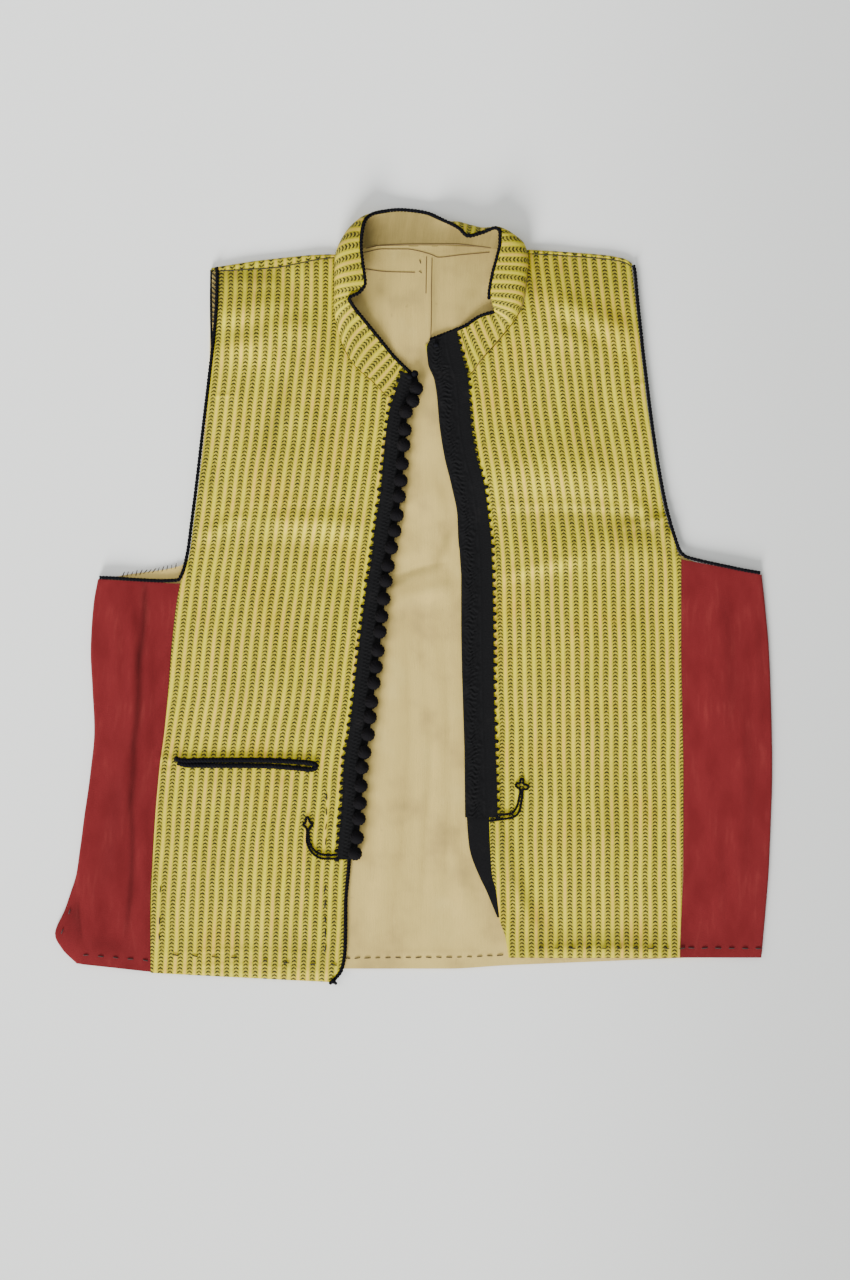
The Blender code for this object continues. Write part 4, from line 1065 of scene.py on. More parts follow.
backShape = {
    "flat": (0.43, 0.552), "area": 0.196,
    "columns": (
        -153, -121, -90, -60.4, -57, -50, -42, -29, 5, 39, 60, 75, 84, 88.4, 115, 142, 153, 160, 166,
    ),
    "neckFrom": -57,
    "neckTo": 84,
    "neckRows": 2,  # rows from the last section to the neck's edge
    "neck": (
        (-57, 255.5), (-50, 260.0), (-42, 262.0), (-29, 264.0), (5, 264.6), (39, 264.0), (60, 262.4),
        (75, 261.4), (84, 257.0),
    ),
    "columnStep": 2.8,
    "step": 3.0,
    "turnStep": 20,  # degrees between two rows round the shoulder's bend
    "armholes": named(Row, (
        (-165, 37, 193, 43), (-158, 65.5, 184, 65.5), (-154.8, 111.5, 176, 111.5),
        (-154.6, 164.5, 172, 164.5), (-154, 205, 168.5, 205), (-153.4, 235, 166.5, 235),
    )),
    "rows": named(Row, (
        (-202.7, -281, 227.7, -273), (-202.7, -200, 227.7, -200), (-202.7, -100, 227.7, -100),
        (-202.7, -20, 227.7, -20), (-202.7, 12, 227.7, 16), (-200, 18, 226, 21), (-188, 20, 214, 25.5),
        (-173, 24.7, 202, 31.5),
    )),
}

liningShape = {
    "flat": (0.512, 0.548), "area": 0.23,
    "rows": named(Row, (
        (-245, -279, 259, -273), (-246, -260, 261, -250), (-245.5, -200, 264.5, -200),
        (-239, -132, 266.5, -132), (-237, -100, 266.5, -90), (-239, -40, 264.5, -40),
        (-237.5, -8, 262, -8), (-234.5, 11, 259.5, 14), (-222.5, 15.5, 246, 18), (-200, 18.8, 226, 22),
        (-188, 20.5, 214, 26), (-173, 25, 202, 32),
    )),
    "tuck": 1.7,  # how far it reaches past the back's neck edge
    "ripple": (1.2, 1.3, 0.8),  # its height, and how close it is in x and y
    "hem": ((-245, -279), (-150, -281.5), (-50, -282.5), (28, -282.5), (70, -280), (142, -277), (259, -272)),
    "creases": named(Crease, (
        (-26, 120, -44, -120, 5.0, 1.0), (-12, 60, -30, -230, 6.0, 0.9), (12, 100, 4, -150, 5.5, 1.0),
        (28, 20, 22, -250, 5.0, 0.8), (-16, 70, 30, 78, 16.0, 1.9), (-20, -6, 38, 8, 7.0, 1.7),
        (-20, 12, 30, 28, 2.4, -0.5), (18, 60, 26, 22, 3.0, 0.8), (-34, 200, -20, 238, 5.0, 1.0),
        (46, 238, 30, 190, 5.0, 1.1), (12.2, 262, 11.4, 180, 2.6, 0.9), (-36, 247, 4, 245, 2.2, 0.6),
        (-8, 236, -20, 150, 6.0, 0.9), (34, 230, 22, 160, 6.0, 0.9), (-10, -150, -34, -262, 5.0, 1.0),
        (20, -160, 44, -262, 5.5, 1.0), (-42, -274.4, 66, -272.6, 1.4, 0.4),
    )),
}


def fineColumns():  # the places of the back's columns, none further apart than its column step
    found = [backShape["columns"][0]]
    for first, second in zip(backShape["columns"], backShape["columns"][1:]):
        count = max(1, math.ceil((second - first) / backShape["columnStep"]))
        found += [first + (second - first) * (part + 1) / count for part in range(count)]
    return np.array(found, float)


opening = {"neckFrom": 170, "neckOver": 20, "neckLeft": -46, "neckRight": 74, "margin": 2, "fade": 9}


def openLift(x, y):  # the lining is free to rise only between the fronts
    left = curve(sorted((row.rightY, row.rightX) for row in bandRight["rows"]), y)
    right = curve(sorted((row.leftY, row.leftX) for row in facing["rows"]), y)
    neck = smoothStep((y - opening["neckFrom"]) / opening["neckOver"])
    left = left + (opening["neckLeft"] - left) * neck
    right = right + (opening["neckRight"] - right) * neck
    margin, fade = opening["margin"], opening["fade"]
    return smoothStep((x - left - margin) / fade) * smoothStep((right - margin - x) / fade)


# A flat panel from the hem to the neck, with its shoulder rows past the neck's two sides
def makeBack(name, rows, level, shoulderRows, material, hem=None, creases=(), tuck=0.0):
    topX = fineColumns()
    across = (topX - topX[0]) / (topX[-1] - topX[0])
    x, y = ruled(rows, across, backShape["step"])[:2]
    x[-1] = topX
    if hem:
        y[0] = curve(hem, x[0])
    neck = curve(backShape["neck"], topX) + tuck
    fold = shoulderFold(topX)
    inNeck = (topX >= backShape["neckFrom"]) & (topX <= backShape["neckTo"])
    ends = [(fold - drop, height(topX, fold - drop)) for drop, height in shoulderRows]
    topY = np.array([end[0] for end in ends])
    topZ = np.array([end[1] for end in ends])
    share = np.clip(np.arange(len(ends))[:, None] / backShape["neckRows"], 0, 1)
    topY = np.where(inNeck, topY[:1] + (neck - topY[:1]) * share, topY)
    topZ = np.where(inNeck, level, topZ)
    gridX = np.vstack([x, np.repeat(topX[None, :], len(ends), axis=0)])
    gridY = np.vstack([y, topY])
    gridZ = np.vstack([np.full_like(y, level), topZ])
    if creases:
        rise, closeX, closeY = liningShape["ripple"]
        lift = creaseHeight(gridX, gridY, creases) + rise * ripple(gridX * closeX, gridY * closeY)
        gridZ = gridZ + lift * openLift(gridX, gridY)
    bothNeck = inNeck[:-1] & inNeck[1:]
    neither = ~inNeck[:-1] & ~inNeck[1:]
    keep = np.ones((gridX.shape[0] - 1, gridX.shape[1] - 1), bool)
    for row in range(len(y), keep.shape[0]):
        keep[row] = neither | (bothNeck & (row < len(y) + backShape["neckRows"]))
    points = gridOf(gridX, gridY, gridZ)
    along = np.vstack([y, y[-1:] + travelled(points[len(y) - 1:])[1:]])
    return clothPiece(name, points, np.stack([gridX, along], axis=-1), material, keep)


def flatAt(level):  # a height that is the same everywhere
    return lambda x, y: np.full_like(x, level)


def shoulderTurn():  # rows that carry the back over the shoulder to its seam on top
    reach = shoulders["foldRadius"] + shoulders["outset"]
    level = layers["backMiddle"]

    def turned(angle):
        def height(x, y):
            return level + (topHeight(x, y) - level) * (1 - math.cos(angle)) / 2
        return reach - shoulders["foldRadius"] * math.sin(angle), height

    def seam(x, y):
        return topHeight(x, y) - layers["edgeRoll"]

    turns = [turned(math.radians(angle)) for angle in range(0, 181, backShape["turnStep"])]
    first = (reach + shoulders["before"][0], flatAt(level))
    return [first] + turns + [(seamDrop(fineColumns()) - shoulders["seamGap"], seam)]


def liningTop():  # the lining stops short of the shoulder's bend
    reach = shoulders["foldRadius"] + shoulders["outset"]
    return [(reach + distance, flatAt(layers["liningMiddle"])) for distance in shoulders["before"]]


bandRight = {
    "name": "bandRight", "node": "band_right", "flat": (0.0152, 0.384), "area": 0.0056,
    "columns": 17, "step": 0.7,
    "rests": "front_right", "overhang": 5.8, "overhangColumns": 8, "sag": 1.2, "braid": 0.6,
    "rows": named(Row, (
        (-8.6, 169.6, -3.4, 169.2), (-11.2, 162, -1.6, 162), (-14.6, 151, -4.2, 150),
        (-17.8, 141, -9.8, 141), (-20.2, 126, -10.8, 126), (-22.4, 104, -12.6, 104),
        (-24.6, 78, -14.9, 78), (-28.8, 52, -18.2, 52), (-31.6, 27, -23, 27), (-35.9, 2, -26.4, 2),
        (-39.4, -25, -29.5, -25), (-42.5, -50, -32.3, -50), (-45.4, -78, -35.9, -78),
        (-48.4, -103, -38.5, -103), (-52.6, -129, -43.2, -129), (-53.6, -154, -44.6, -154),
        (-55.5, -177, -46.4, -177), (-57.6, -199.5, -49, -199.5),
    )),
}

bandLeft = {
    "name": "bandLeft", "node": "band_left", "flat": (0.0262, 0.368), "area": 0.0088,
    "columns": 36, "step": 0.7,
    "rests": "front_left", "overhang": 0.6, "overhangColumns": 1, "sag": 0.2, "braid": 0.95,
    "worked": 0.62,  # the share of its width that is crochet
    "rows": named(Row, (
        (12.4, 193.6, 32.6, 202.2), (10.4, 188, 34, 193.2), (11.5, 176, 38, 177), (16, 164.5, 41, 164.5),
        (18, 153, 42, 150), (20, 130.5, 43.2, 130.5), (23.5, 107.5, 47, 107.5), (29, 84.5, 53.4, 83),
        (33.5, 62, 56.2, 62), (34.4, 42, 58.5, 42), (36.5, 22, 59.2, 22), (36.5, -18, 60.2, -18),
        (37, -52, 60.4, -52), (38, -86.5, 60.8, -86.5), (39, -120.5, 62, -120.5),
        (39.2, -143.5, 63, -143.5), (39.5, -167.5, 63.4, -167.5),
    )),
}

back = makeBack(
    "backPanel", backShape["rows"] + backShape["armholes"], layers["backMiddle"], shoulderTurn(), stripedCloth
)
clothBelongs(back, "back", "striped_yellow_twill", backShape["flat"], backShape["area"])
lining = makeBack(
    "backLining", liningShape["rows"] + backShape["armholes"], layers["liningMiddle"], liningTop(),
    liningWeave, liningShape["hem"], liningShape["creases"], liningShape["tuck"],
)
addPaintedShading(lining, liningPaintedShading)
clothBelongs(
    lining, "back_lining", "beige_lining_cotton", liningShape["flat"], liningShape["area"]
)
print("back and lining ready")


# The collar

collarShape = {
    "flat": (0.4, 0.034), "area": 0.0092, "liningFlat": (0.33, 0.034), "liningArea": 0.0076,
    "perStation": 7, "rings": 15, "measuredRing": 4, "bendPoints": 41,
    "lined": (3, 28),  # the lining reaches from one of these stations to the other
    "gap": 0.3, "wall": 0.9,
    "cordRoom": 1.4,
    "cordLeast": 1.95,  # the cord's middle lies at least this high over the lining's
    "hangsFrom": 270,  # past this y the collar's edge is free of the lining
    "cordBreak": (26, 27),  # the cord is hidden in a fold between these stations
    "cordTail": (57.4, 224.2, 11.8), "cordEnd": (13.0, 194.6, 4.2),
    "stations": named(Station, (
        ((-4.5, 148, 2.65), (-1.5, 157.5, 2.7), (1, 167, 2.8)),
        ((-19, 152.5, 2.7), (-12, 161.5, 2.8), (-5.5, 173, 2.9)),
        ((-31, 164, 3.3), (-23.5, 172, 3.7), (-14.5, 182, 4.3)),
        ((-44, 175, 4.1), (-36.5, 186.5, 5.2), (-26.5, 196.5, 6)),
        ((-51.5, 188, 4.1), (-46.5, 199.5, 6.8), (-36.5, 208.5, 8)),
        ((-56, 202.5, 3.9), (-54.5, 211, 9.5), (-45.5, 219.5, 12)),
        ((-58, 214.5, 3.5), (-57.5, 218.5, 11.5), (-48, 224, 14.5), 2.8),
        ((-58.5, 223, 3.3), (-55.5, 225.5, 13.5), (-40, 229, 12.5), 2.8),
        ((-58.5, 231.5, 3.3), (-54, 234, 16), (-36, 236.5, 15)),
        ((-58.5, 244.5, 3.3), (-54, 247.5, 17), (-38, 252, 17)),
        ((-58, 254, 3.3), (-54.5, 260, 16), (-39, 264, 18)),
        ((-52.5, 261.8, 3.1), (-48, 277, 11), (-37, 279.5, 17)),
        ((-42.5, 263.8, 1.9), (-37, 283.5, 7), (-32.5, 287, 13)),
        ((-29.5, 265.2, 1.25), (-27.5, 282.5, 3.2), (-25, 290.5, 9)),
        ((-13, 265.6, 1.25), (-12, 280, 2.2), (-10, 293, 5)),
        ((5.5, 265.6, 1.25), (7, 280, 2.2), (9, 291, 4.5)),
        ((19, 265.6, 1.25), (21, 279.5, 3.6), (23, 284, 10), 0.4),
        ((29.5, 265.4, 1.25), (32.5, 282, 5), (34.5, 277.5, 13), 0.4),
        ((39, 265.2, 1.25), (43.5, 280, 6), (42, 271, 15.5)),
        ((49.5, 264.6, 1.25), (52.5, 277, 7), (52.5, 274, 14)),
        ((60, 264, 1.9), (64, 275.5, 9), (61.5, 277, 17)),
        ((72, 264, 2.7), (74.5, 272.5, 12), (65.5, 274, 18)),
        ((83, 262.5, 3.1), (81.5, 265.5, 15), (65.5, 265.5, 17)),
        ((86, 254, 3.3), (82, 254, 16), (63, 254, 16)), ((85, 240.5, 3.3), (80, 242, 16), (60, 243, 15)),
        ((83, 225.5, 3.3), (77, 227, 15), (57.5, 228.5, 13)),
        ((77, 211.5, 3.9), (72, 214.5, 11), (59.5, 219.5, 11)),
        ((70, 202, 4.1), (67, 208.5, 7), (61.5, 215.5, 6.5), 1),
        ((61, 190.5, 4.1), (55.5, 202.5, 5.6), (51.5, 212.5, 6.2)),
        ((51, 179.5, 3.4), (45, 192, 4.2), (39.5, 205, 5)),
        ((42.5, 168.5, 2.7), (37, 184.5, 2.8), (32, 202, 2.9)),
        ((19, 161.5, 2.65), (13, 175, 2.7), (9, 192, 2.8)),
    )),
}


def collarMiddle():  # the collar's middle surface, ring by ring up each section
    stations = collarShape["stations"]
    numbers = np.linspace(0, len(stations) - 1, (len(stations) - 1) * collarShape["perStation"] + 1)
    whole = np.arange(len(stations))
    lines = np.array([station[:3] for station in stations], float).transpose(1, 2, 0)
    root, belly, edge = (
        np.stack([fair(whole, values, numbers) for values in line], axis=1) for line in lines
    )
    share = np.linspace(0, 1, collarShape["bendPoints"])[None, :, None]
    bent = (1 - share) * (1 - 2 * share) * root[:, None] + 4 * share * (1 - share) * belly[:, None]
    bent = bent + share * (2 * share - 1) * edge[:, None]
    middle = np.empty((len(numbers), collarShape["rings"], 3))
    for index, section in enumerate(bent):
        gone = travelled(section)
        wanted = np.linspace(0, gone[-1] - collarShape["cordRoom"], collarShape["rings"])
        for axis in range(3):
            middle[index, :, axis] = np.interp(wanted, gone, section[:, axis])
    return numbers, middle


def makeCollar():  # its two cloths; gives the route of the cord along its edge
    numbers, middle = collarMiddle()
    near = collarShape["gap"] / 2
    far = near + collarShape["wall"]
    out = normalsOf(middle)
    around = travelled(middle[:, collarShape["measuredRing"]])[:, None]
    up = travelled(middle, 1)
    uv = np.stack([np.broadcast_to(around, up.shape), up], axis=-1)
    outside = shell("standCollar", middle + out * far, middle + out * near, uv, collarCloth)
    clothBelongs(
        outside, "collar", "striped_yellow_twill", collarShape["flat"],
        collarShape["area"],
    )
    first, last = collarShape["lined"]
    lined = (numbers >= first) & (numbers <= last)
    inside = shell(
        "collarLining", (middle - out * near)[lined], (middle - out * far)[lined], uv[lined], shadedCollarWeave
    )
    clothBelongs(
        inside, "collar_lining", "beige_lining_cotton", collarShape["liningFlat"],
        collarShape["liningArea"],
    )
    lowest = layers["liningMiddle"] + collarShape["cordLeast"]
    route = np.array([station.edge for station in collarShape["stations"]], float)
    hangs = route[:, 1] > collarShape["hangsFrom"]
    route[:, 2] = np.where(hangs, route[:, 2], np.maximum(route[:, 2], lowest))
    route[:, 2] += [station.cordLift for station in collarShape["stations"]]
    first, second = collarShape["cordBreak"]
    route[-1] = collarShape["cordEnd"]
    return [np.vstack([route[:first], collarShape["cordTail"]]), route[second:]]


collarEdge = makeCollar()
print("collar ready")


# The bands along the front edges

plaitForm = {"lies": 0.72, "rises": 0.28, "lag": 0.6}  # height of a cord, and how it rises over the others

crochetLeft = {
    "cords": 4, "swing": 0.3, "pitch": 13.0, "thick": 1.5,  # the plait swings by this share of its width
    "curl": 1.3, "stray": 2.2,  # how far its cords wander across and along
    "innerRow": (0.3, 0.8), "outerRow": (0.4, 0.9),  # height and half width of the raised rows
    "outerRowAt": 1.1,
    "ribs": 0.1, "ribPitch": 1.7, "ribFade": 1.5,  # the ribbon's
    "fade": 1.2,
    "base": 0.1,
}

crochetRight = {"cords": 3, "swing": 0.22, "pitch": 8.5, "thick": 1.3, "middle": 0.46, "base": 0.05}


def plait(spec, across, along, width):  # height of cords that cross each other
    found = np.zeros(np.broadcast(across, along).shape)
    for cord in range(spec["cords"]):
        turn = 2 * math.pi * (along / spec["pitch"] + cord / spec["cords"])
        ridge = np.exp(-((across - width * spec["swing"] * np.sin(turn)) / spec["thick"]) ** 2)
        over = plaitForm["lies"] + plaitForm["rises"] * np.cos(2 * turn + plaitForm["lag"])
        found = np.maximum(found, ridge * over)
    return found


def raisedRow(distance, height, halfWidth):
    return height * np.exp(-(distance / halfWidth) ** 2)


bandForm = {"upper": 0.35, "lower": 0.5, "edge": 0.8}  # thickness over and under the middle, rounded edge


def makeBand(spec, relief):
    x, y = ruled(spec["rows"], np.linspace(0, 1, spec["columns"]), spec["step"])[:2]
    overhang = x[:, -1:] + np.linspace(0, spec["overhang"], spec["overhangColumns"] + 1)[None, 1:]
    past = np.concatenate([np.zeros(x.shape[1]), np.linspace(0, 1, spec["overhangColumns"] + 1)[1:]])
    x = np.hstack([x, overhang])
    y = np.hstack([y, np.repeat(y[:, -1:], spec["overhangColumns"], axis=1)])
    middle = layers["bandMiddle"] - layers["topMiddle"] + topHeight(x, y) - spec["sag"] * smoothStep(past)
    run = travelled(gridOf(x, y, 0))
    across = x - x[:, :1]
    width = x[:, -1:] - x[:, :1]
    upper = gridOf(x, y, middle + bandForm["upper"] + relief(across, width, run))
    lower = gridOf(x, y, middle - bandForm["lower"])
    piece = shell(spec["name"], upper, lower, np.stack([across, run], axis=-1), blackBraid)
    clothBelongs(piece, spec["node"], "black_trimming", spec["flat"], spec["area"])


def roundedEdge(across, width):
    return smoothStep(across / bandForm["edge"]) * smoothStep((width - across) / bandForm["edge"])


def reliefLeft(across, width, run):  # curled plaits, a raised row at each side of them, and plain ribbon
    form = crochetLeft
    worked = width * bandLeft["worked"]
    curl = form["curl"] * np.sin(run / 2.3 + 0.8 * np.sin(across / 1.9))
    strayed = run + form["stray"] * np.sin(across / 2.1 + run / 9.0)
    braid = plait(form, across - worked / 2 + curl, strayed, worked)
    rows = raisedRow(across - worked, *form["innerRow"])
    rows = rows + raisedRow(across - form["outerRowAt"], *form["outerRow"])
    ribs = form["ribs"] * np.sin(run * 2 * math.pi / form["ribPitch"])
    ribbon = ribs * smoothStep((across - worked) / form["ribFade"])
    fade = 1 - smoothStep((across - worked + form["fade"]) / form["fade"])
    whole = bandLeft["braid"] * braid * fade + rows + ribbon
    return whole * roundedEdge(across, width) + form["base"]


def reliefRight(across, width, run):  # one narrow plait
    braid = plait(crochetRight, across - width * crochetRight["middle"], run, width)
    return bandRight["braid"] * braid * roundedEdge(across, width) + crochetRight["base"]


makeBand(bandRight, reliefRight)
makeBand(bandLeft, reliefLeft)
print("bands ready")


# Small things that the node trees copy

tubeForm = {"sides": 6, "end": 0.45, "rounded": 0.04}  # the ends' share of the radius, and of the length
ribForm = {"depth": 0.045, "slant": 2.6}


def smallTube(name, path, radius):  # a bent tube that narrows at both ends
    sides, end = tubeForm["sides"], tubeForm["end"]
    path = np.asarray(path, float)
    run = np.gradient(path, axis=0)
    run /= np.linalg.norm(run, axis=1, keepdims=True)
    side = np.cross(run, (0.0, 0.0, 1.0))
    side /= np.maximum(np.linalg.norm(side, axis=1, keepdims=True), 1e-9)
    up = np.cross(side, run)
    turns = 2 * math.pi * np.arange(sides) / sides
    share = np.linspace(0, 1, len(path))
    share = np.clip(share, tubeForm["rounded"], 1 - tubeForm["rounded"])
    width = radius * (end + (1 - end) * np.sqrt(np.sin(math.pi * share)))
    rings = path[:, None] + width[:, None, None] * (
        side[:, None] * np.cos(turns)[None, :, None] + up[:, None] * np.sin(turns)[None, :, None]
    )
    points = rings.reshape(-1, 3) * mm
    quads = []
    for ring in range(len(path) - 1):
        for turn in range(sides):
            a, b = ring * sides + turn, ring * sides + (turn + 1) % sides
            quads.append((a, b, b + sides, a + sides))
    last = (len(path) - 1) * sides
    caps = [tuple(range(sides))[::-1], tuple(range(last, last + sides))]
    mesh = bpy.data.meshes.new(name)
    mesh.from_pydata(points.tolist(), [], quads + caps)
    triangles = np.array([(points[q[0]], points[q[1]], points[q[2]]) for q in quads])
    if np.einsum("ij,ij->i", triangles[:, 0], np.cross(triangles[:, 1], triangles[:, 2])).sum() < 0:
        mesh.flip_normals()
    return addObject(name, mesh)


def ballShape(radius, lobes, sides, rings):  # a ball worked round in slanting ribs
    mesh = bpy.data.meshes.new("ball")
    points, faces = [(0, 0, radius * mm)], []
    for ring in range(1, rings):
        polar = math.pi * ring / rings
        for side in range(sides):
            turn = 2 * math.pi * side / sides
            rib = ribForm["depth"] * math.cos(lobes * turn + ribForm["slant"] * polar)
            bulge = radius * (1 + rib * math.sin(polar))
            points.append((
                bulge * math.sin(polar) * math.cos(turn) * mm,
                bulge * math.sin(polar) * math.sin(turn) * mm,
                bulge * math.cos(polar) * mm,
            ))
    points.append((0, 0, -radius * mm))
    for side in range(sides):
        after = (side + 1) % sides
        faces.append((0, 1 + side, 1 + after))
        for ring in range(rings - 2):
            low, high = 1 + ring * sides, 1 + (ring + 1) * sides
            faces.append((low + side, high + side, high + after, low + after))
        bottom = 1 + (rings - 2) * sides
        faces.append((bottom + after, bottom + side, len(points) - 1))
    mesh.from_pydata(points, [], faces)
    return addObject("ball", mesh)


def archPath(width, height, points=7):  # a thread that goes over and down at both ends
    turns = np.linspace(0, math.pi, points)
    return np.stack([-np.cos(turns) * width / 2, np.zeros(points), np.sin(turns) * height], axis=1)


# The ball buttons

ballRow = {
    "count": 29, "radius": 5.2, "firstAt": 13.5, "topPitch": 9.9, "closeSet": 2, "pitch": 12.95,
    "wander": 0.8, "wanderRate": 2.3, "reach": 4.7,
    "overLining": 5.75,  # from the lining's middle to the ball's
    "ribs": 12, "sides": 48, "rings": 18, "seed": 4, "routePoints": 400,
}


def makeBalls():
    spec = ballRow
    edge = np.array([(row.rightX, row.rightY) for row in bandRight["rows"]])
    at = np.linspace(0, len(edge) - 1, spec["routePoints"])
    edge = np.stack([fair(np.arange(len(edge)), edge[:, axis], at) for axis in range(2)], axis=1)
    beside = besideRoute(edge, spec["reach"])
    gone = travelled(beside)
    numbers = np.arange(spec["count"])
    close = np.minimum(numbers, spec["closeSet"])
    loose = numbers - close
    along = spec["firstAt"] + spec["topPitch"] * close + spec["pitch"] * loose
    along = along + spec["wander"] * np.sin(spec["wanderRate"] * loose)
    height = layers["liningMiddle"] + spec["overLining"]
    places = [(np.interp(d, gone, beside[:, 0]), np.interp(d, gone, beside[:, 1]), height) for d in along]
    ball = ballShape(spec["radius"], spec["ribs"], spec["sides"], spec["rings"])
    balls = atPlaces("ballButtons", ball, places, [1.0] * len(places), spec["seed"], ballWool)
    trimBelongs(balls, [f"button_{number + 1:02d}" for number in numbers], "black_wool_cord")


makeBalls()
print("ball buttons ready")


# The cords

cordKinds = {
    "twoStrand": {"strands": 2, "radius": 0.86, "spread": 0.68, "twist": 5.2, "over": 0.65, "step": 2.0},
    "thick": {"strands": 3, "radius": 1.12, "spread": 1.0, "twist": 7.6, "over": 2.0, "step": 2.0},
    "fine": {"strands": 2, "radius": 0.56, "spread": 0.42, "twist": 3.0, "over": 1.35, "step": 1.0},
}

cords = {  # node, kind, route in plan
    "armholeCordRight": ("armhole_cord_right", "twoStrand", (
        (-149.0, 249.4), (-148.4, 243.4), (-148.9, 222), (-150.6, 199), (-154.4, 167), (-159.4, 126),
        (-163.6, 89.5), (-167.6, 58.5), (-171.2, 32), (-175.4, 16.4), (-178.5, 12.4),
        (-192, 11.9), (-212, 12.8), (-226, 13.9), (-237.5, 14.3),
    )),
    "armholeCordLeft": ("armhole_cord_left", "twoStrand", (
        (167.2, 250.8), (168.2, 247), (170.2, 225.5), (172.6, 202.5), (174.2, 187.5), (177.2, 163),
        (182.8, 119), (187.8, 88.5), (194.4, 58), (202.4, 34.4), (206, 30.6),
        (219, 26.8), (236, 23.0), (250, 20.1), (263, 17.8),
    )),
    "frontEdgeCord": ("front_edge_cord", "twoStrand", (
        (-48.2, -198.4), (-49.2, -211.5), (-51, -232), (-51.2, -255), (-51.6, -268.5),
        (-54, -283), (-59.5, -290.5),
    )),
    "pocketCord": ("pocket_cord", "thick", (
        (-180, -122.6), (-176.5, -124.3), (-171, -124.6), (-158, -124.1), (-116.5, -124), (-90, -125.2),
        (-76.5, -126.4), (-73, -128.9), (-77, -131.3), (-90, -130), (-112.5, -128.4), (-150, -128.1),
        (-170, -128), (-178, -126.2),
    )),
    "loopCordRight": ("loop_cord_right", "fine", (
        (-57.8, -195.7), (-64.1, -196.2), (-70.9, -195), (-76.3, -190.6), (-79, -184), (-79.2, -178.4),
        (-78.4, -175.6), (-75.9, -173.3), (-78.4, -170.9), (-79.2, -168.2), (-80.2, -166.9), (-81.1, -168.3),
        (-81.2, -170.9), (-83.2, -172.8), (-81, -175.4), (-80.3, -178.2), (-80.6, -184.8), (-78.4, -191.4),
        (-73.9, -196.5), (-67.1, -198.9), (-55.8, -198.9),
    )),
    "loopCordLeft": ("loop_cord_left", "fine", (
        (64, -165.4), (70.8, -165.1), (74.8, -164.4), (77.5, -161.7), (79.2, -158.2), (80.3, -153.1),
        (81.2, -148.4), (80.7, -145.8), (78.9, -144.9), (77.8, -143.2), (79, -141.4), (81, -142),
        (81.3, -140), (82.2, -137.9), (83.6, -139), (83.3, -141.6), (84.9, -142.7), (87.3, -143.4),
        (87.2, -145.7), (85.2, -146.4), (83.4, -145.8), (82.8, -148.6), (82.7, -152), (81.9, -156.6),
        (80.9, -162), (78.2, -166.1), (73.4, -168.1), (69, -168.8), (57.4, -170.2),
    )),
}
collarCordStep = 1.5


def onTop(plan, over, step):  # a route laid on the top cloth
    path = evenRoute(plan, step)
    return np.column_stack([path[:, :2], topHeight(path[:, 0], path[:, 1]) + over])


def makeCord(name, node, kind, routes):
    trimBelongs(twisted(name, routes, kind, blackWool), [node], "black_wool_cord")


for name, (node, kind, plan) in cords.items():
    kind = cordKinds[kind]
    makeCord(name, node, kind, [onTop(plan, kind["over"], kind["step"])])
collarRuns = [evenRoute(run, collarCordStep) for run in collarEdge]
makeCord("collarCord", "collar_cord", cordKinds["twoStrand"], collarRuns)
print("cords ready")


# Knots

knots = (  # x, y, height of the middle, radius
    (1.4, 168.6, 6.2, 2.7), (-2.6, 166.4, 6.4, 2.2), (-60.4, -292.0, 3.6, 2.0), (-62.6, -293.4, 3.2, 1.3),
    (-58.6, -293.6, 3.0, 1.2), (17.6, 190.4, 6.6, 1.8),
)

knotForm = {"ribs": 5, "sides": 15, "rings": 9, "seed": 9}
knot = ballShape(1.0, knotForm["ribs"], knotForm["sides"], knotForm["rings"])
places, sizes = [place[:3] for place in knots], [place[3] for place in knots]
trimBelongs(atPlaces("cordKnots", knot, places, sizes, knotForm["seed"], blackWool), [], "black_wool_cord")


# Picots

picots = {
    "spacing": 6.4, "wide": 1.3, "out": 3.4, "radius": 1.05, "over": 1.2, "turn": 0.0, "unevenness": 0.12,
    "points": 9, "step": 2.0,
}


def picotRow(name, edge, outward, inset, seed):  # small loops of thread along a band's outer edge
    path = besideRoute(evenRoute(edge, picots["step"]), -outward * inset)
    route = np.column_stack([path, topHeight(path[:, 0], path[:, 1]) + picots["over"]])
    loop = archPath(picots["wide"], outward * picots["out"], picots["points"])[:, (0, 2, 1)]  # laid flat
    row = inRow(name, smallTube("tooth", loop, picots["radius"]), [route], picots, seed, blackBraid)
    trimBelongs(row, [], "black_trimming")


picotRow("picotsRight", [(row.leftX, row.leftY) for row in bandRight["rows"]], -1, 1.5, 11)
picotRow("picotsLeft", [(row.rightX, row.rightY) for row in bandLeft["rows"]], 1, 0.9, 12)
print("knots and picots ready")


# Sewing: running stitches, overcast edges and seam lines

linedTrees = [
    BVHTree.FromObject(bpy.data.objects[name], bpy.context.evaluated_depsgraph_get())
    for name in ("backLining", "collarLining")
]


above = 100  # a height over everything
down = Vector((0, 0, -1))


def settled(plan, over, step):  # a route laid on the lining
    path = evenRoute(plan, step)
    heights = []
    for x, y in path:
        hits = [tree.ray_cast(Vector((x * mm, y * mm, above * mm)), down)[0] for tree in linedTrees]
        found = [hit.z / mm for hit in hits if hit]
        heights.append(max(found + [layers["liningMiddle"]]))
    return np.column_stack([path, np.array(heights) + over])


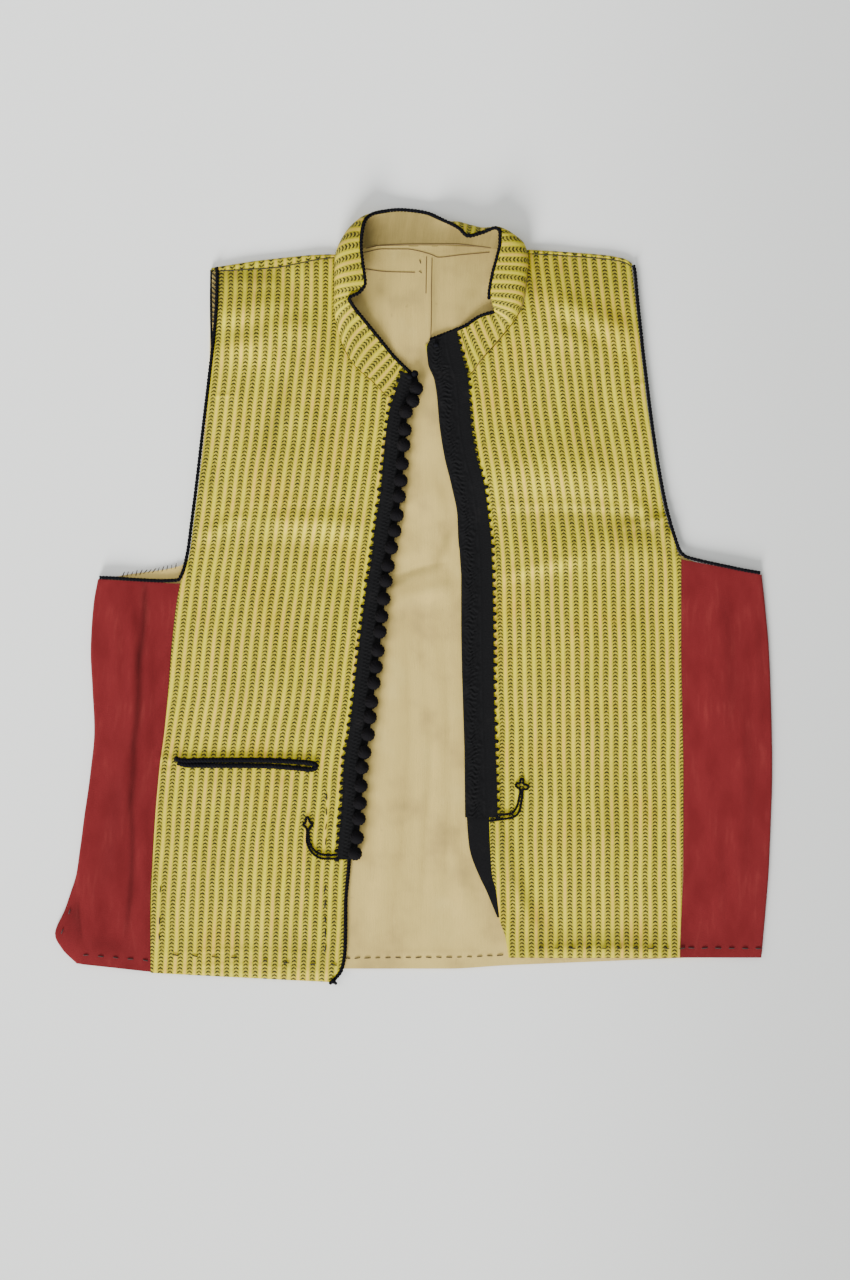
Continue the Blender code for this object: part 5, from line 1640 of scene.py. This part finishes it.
stitchRows = {
    "hemStitches": {
        "thread": oliveThread, "slot": "striped_yellow_twill", "lay": onTop, "seed": 20,
        "spacing": 11.5, "long": 4.2, "radius": 0.46, "turn": 0.0, "unevenness": 0.25, "over": 0.85,
        "plans": (
            ((97, -266.5), (150, -266.6), (204, -266.8)), ((-180, -272), (-150, -273.4), (-136, -274)),
            ((-112, -276.4), (-96, -277.8)), ((-76, -278.8), (-60, -279.4)),
        ),
    },
    "uprightStitches": {
        "thread": oliveThread, "slot": "striped_yellow_twill", "lay": onTop, "seed": 21,
        "spacing": 10.5, "long": 5.0, "radius": 0.46, "turn": 0.0, "unevenness": 0.22, "over": 0.85,
        "plans": (
            ((-65.6, -152), (-66.2, -186)), ((-66.8, -222), (-66.4, -267)), ((-191.5, -222), (-192, -230)),
            ((-192.2, -246), (-192.5, -258)),
        ),
    },
    "redStitches": {
        "thread": darkThread, "slot": "red_plain_weave", "lay": onTop, "seed": 22,
        "spacing": 9.4, "long": 4.4, "radius": 0.44, "turn": 0.0, "unevenness": 0.2, "over": 0.6,
        "plans": (
            ((211, -266.6), (235, -266.8), (262, -267)), ((-248, -272), (-225, -274), (-203, -276)),
            ((-260.5, -239), (-266, -254)),
        ),
    },
    "liningHem": {
        "thread": darkThread, "slot": "beige_lining_cotton", "lay": settled, "seed": 30,
        "spacing": 7.6, "long": 4.3, "radius": 0.34, "turn": 0.0, "unevenness": 0.16, "over": 0.12,
        "plans": (((-50, -274.6), (-10, -274.2), (36, -273.8), (66, -272.4)),),
    },
    "overcastShoulder": {
        "thread": oliveThread, "slot": "beige_lining_cotton", "lay": settled, "seed": 31,
        "spacing": 3.4, "long": 4.6, "radius": 0.52, "turn": 1.0, "unevenness": 0.3, "over": 0.25,
        "plans": (((-150.9, 247), (-151, 226), (-151.2, 208)),),
    },
    "overcastArmhole": {
        "thread": darkThread, "slot": "beige_lining_cotton", "lay": settled, "seed": 32,
        "spacing": 3.2, "long": 4.4, "radius": 0.36, "turn": 0.95, "unevenness": 0.3, "over": 0.15,
        "plans": (((-220, 16.4), (-206, 18.2), (-192, 20.4), (-180, 23)),),
    },
    "neckMarks": {
        "thread": darkThread, "slot": "beige_lining_cotton", "lay": settled, "seed": 33,
        "spacing": 5.2, "long": 2.8, "radius": 0.26, "turn": 0.5, "unevenness": 0.5, "over": 0.1,
        "plans": (((5.4, 254), (5.6, 246)),),
    },
}
stitchArch, stitchStep = 0.35, 1.0
seamForm = {"step": 1.5, "pitch": 9.0, "points": 60, "overTop": 0.2, "overLining": 0.06, "overBack": 0.3}

for name, spec in stitchRows.items():
    routes = [spec["lay"](plan, spec["over"], stitchStep) for plan in spec["plans"]]
    thread = smallTube("thread", archPath(spec["long"], stitchArch), spec["radius"])
    row = inRow(name, thread, routes, spec, spec["seed"], spec["thread"])
    trimBelongs(row, [], spec["slot"])


def shoulderSeam(start, end):  # along the gap where the back, folded over, meets a front
    x = np.linspace(start, end, seamForm["points"])
    y = shoulderFold(x) - seamDrop(x) + shoulders["seamGap"] / 2
    return np.column_stack([x, y, topHeight(x, y) + seamForm["overTop"]])


# seam lines on the lining; the third, near x 14, is a painted shadow: a thin dark thread beside the centre
# seam's ridge
liningSeams = (
    ((-36, 264.2), (-21.3, 266.6), (6.1, 267.4), (31.9, 267.4), (43.3, 266.4), (59, 264.4)),
    ((-37.2, 261.1), (-22, 263.6), (-5.3, 263.6), (13.7, 259.5), (19.8, 257.3), (37.2, 259.2), (58, 261.1)),
    ((14.4, 257), (14, 236), (13.8, 210), (13.4, 196)), ((10.2, 258), (9.8, 230)),
    ((-36, 248.4), (-20, 246.4), (1.5, 245.9)),
)
backEdge = ((-153.2, 248), (-153.4, 226), (-153.2, 204), (-152.6, 188))  # the cord on the back's own edge

seams = {  # routes, radius, material, slot
    "liningSeams": (
        [settled(plan, seamForm["overLining"], seamForm["step"]) for plan in liningSeams],
        0.34, seamAndShadowThread, "beige_lining_cotton",
    ),
    "backEdgeCord": (
        [settled(backEdge, seamForm["overBack"], seamForm["step"])], 0.85, blackWool, "black_wool_cord",
    ),
    "shoulderSeams": (
        [shoulderSeam(-147, -60), shoulderSeam(90, 165)], 0.42, oliveThread, "striped_yellow_twill",
    ),
}
for name, (routes, radius, material, slot) in seams.items():
    kind = {"strands": 1, "radius": radius, "spread": 0.0, "twist": seamForm["pitch"]}
    trimBelongs(twisted(name, routes, kind, material), [], slot)
print("sewing ready")
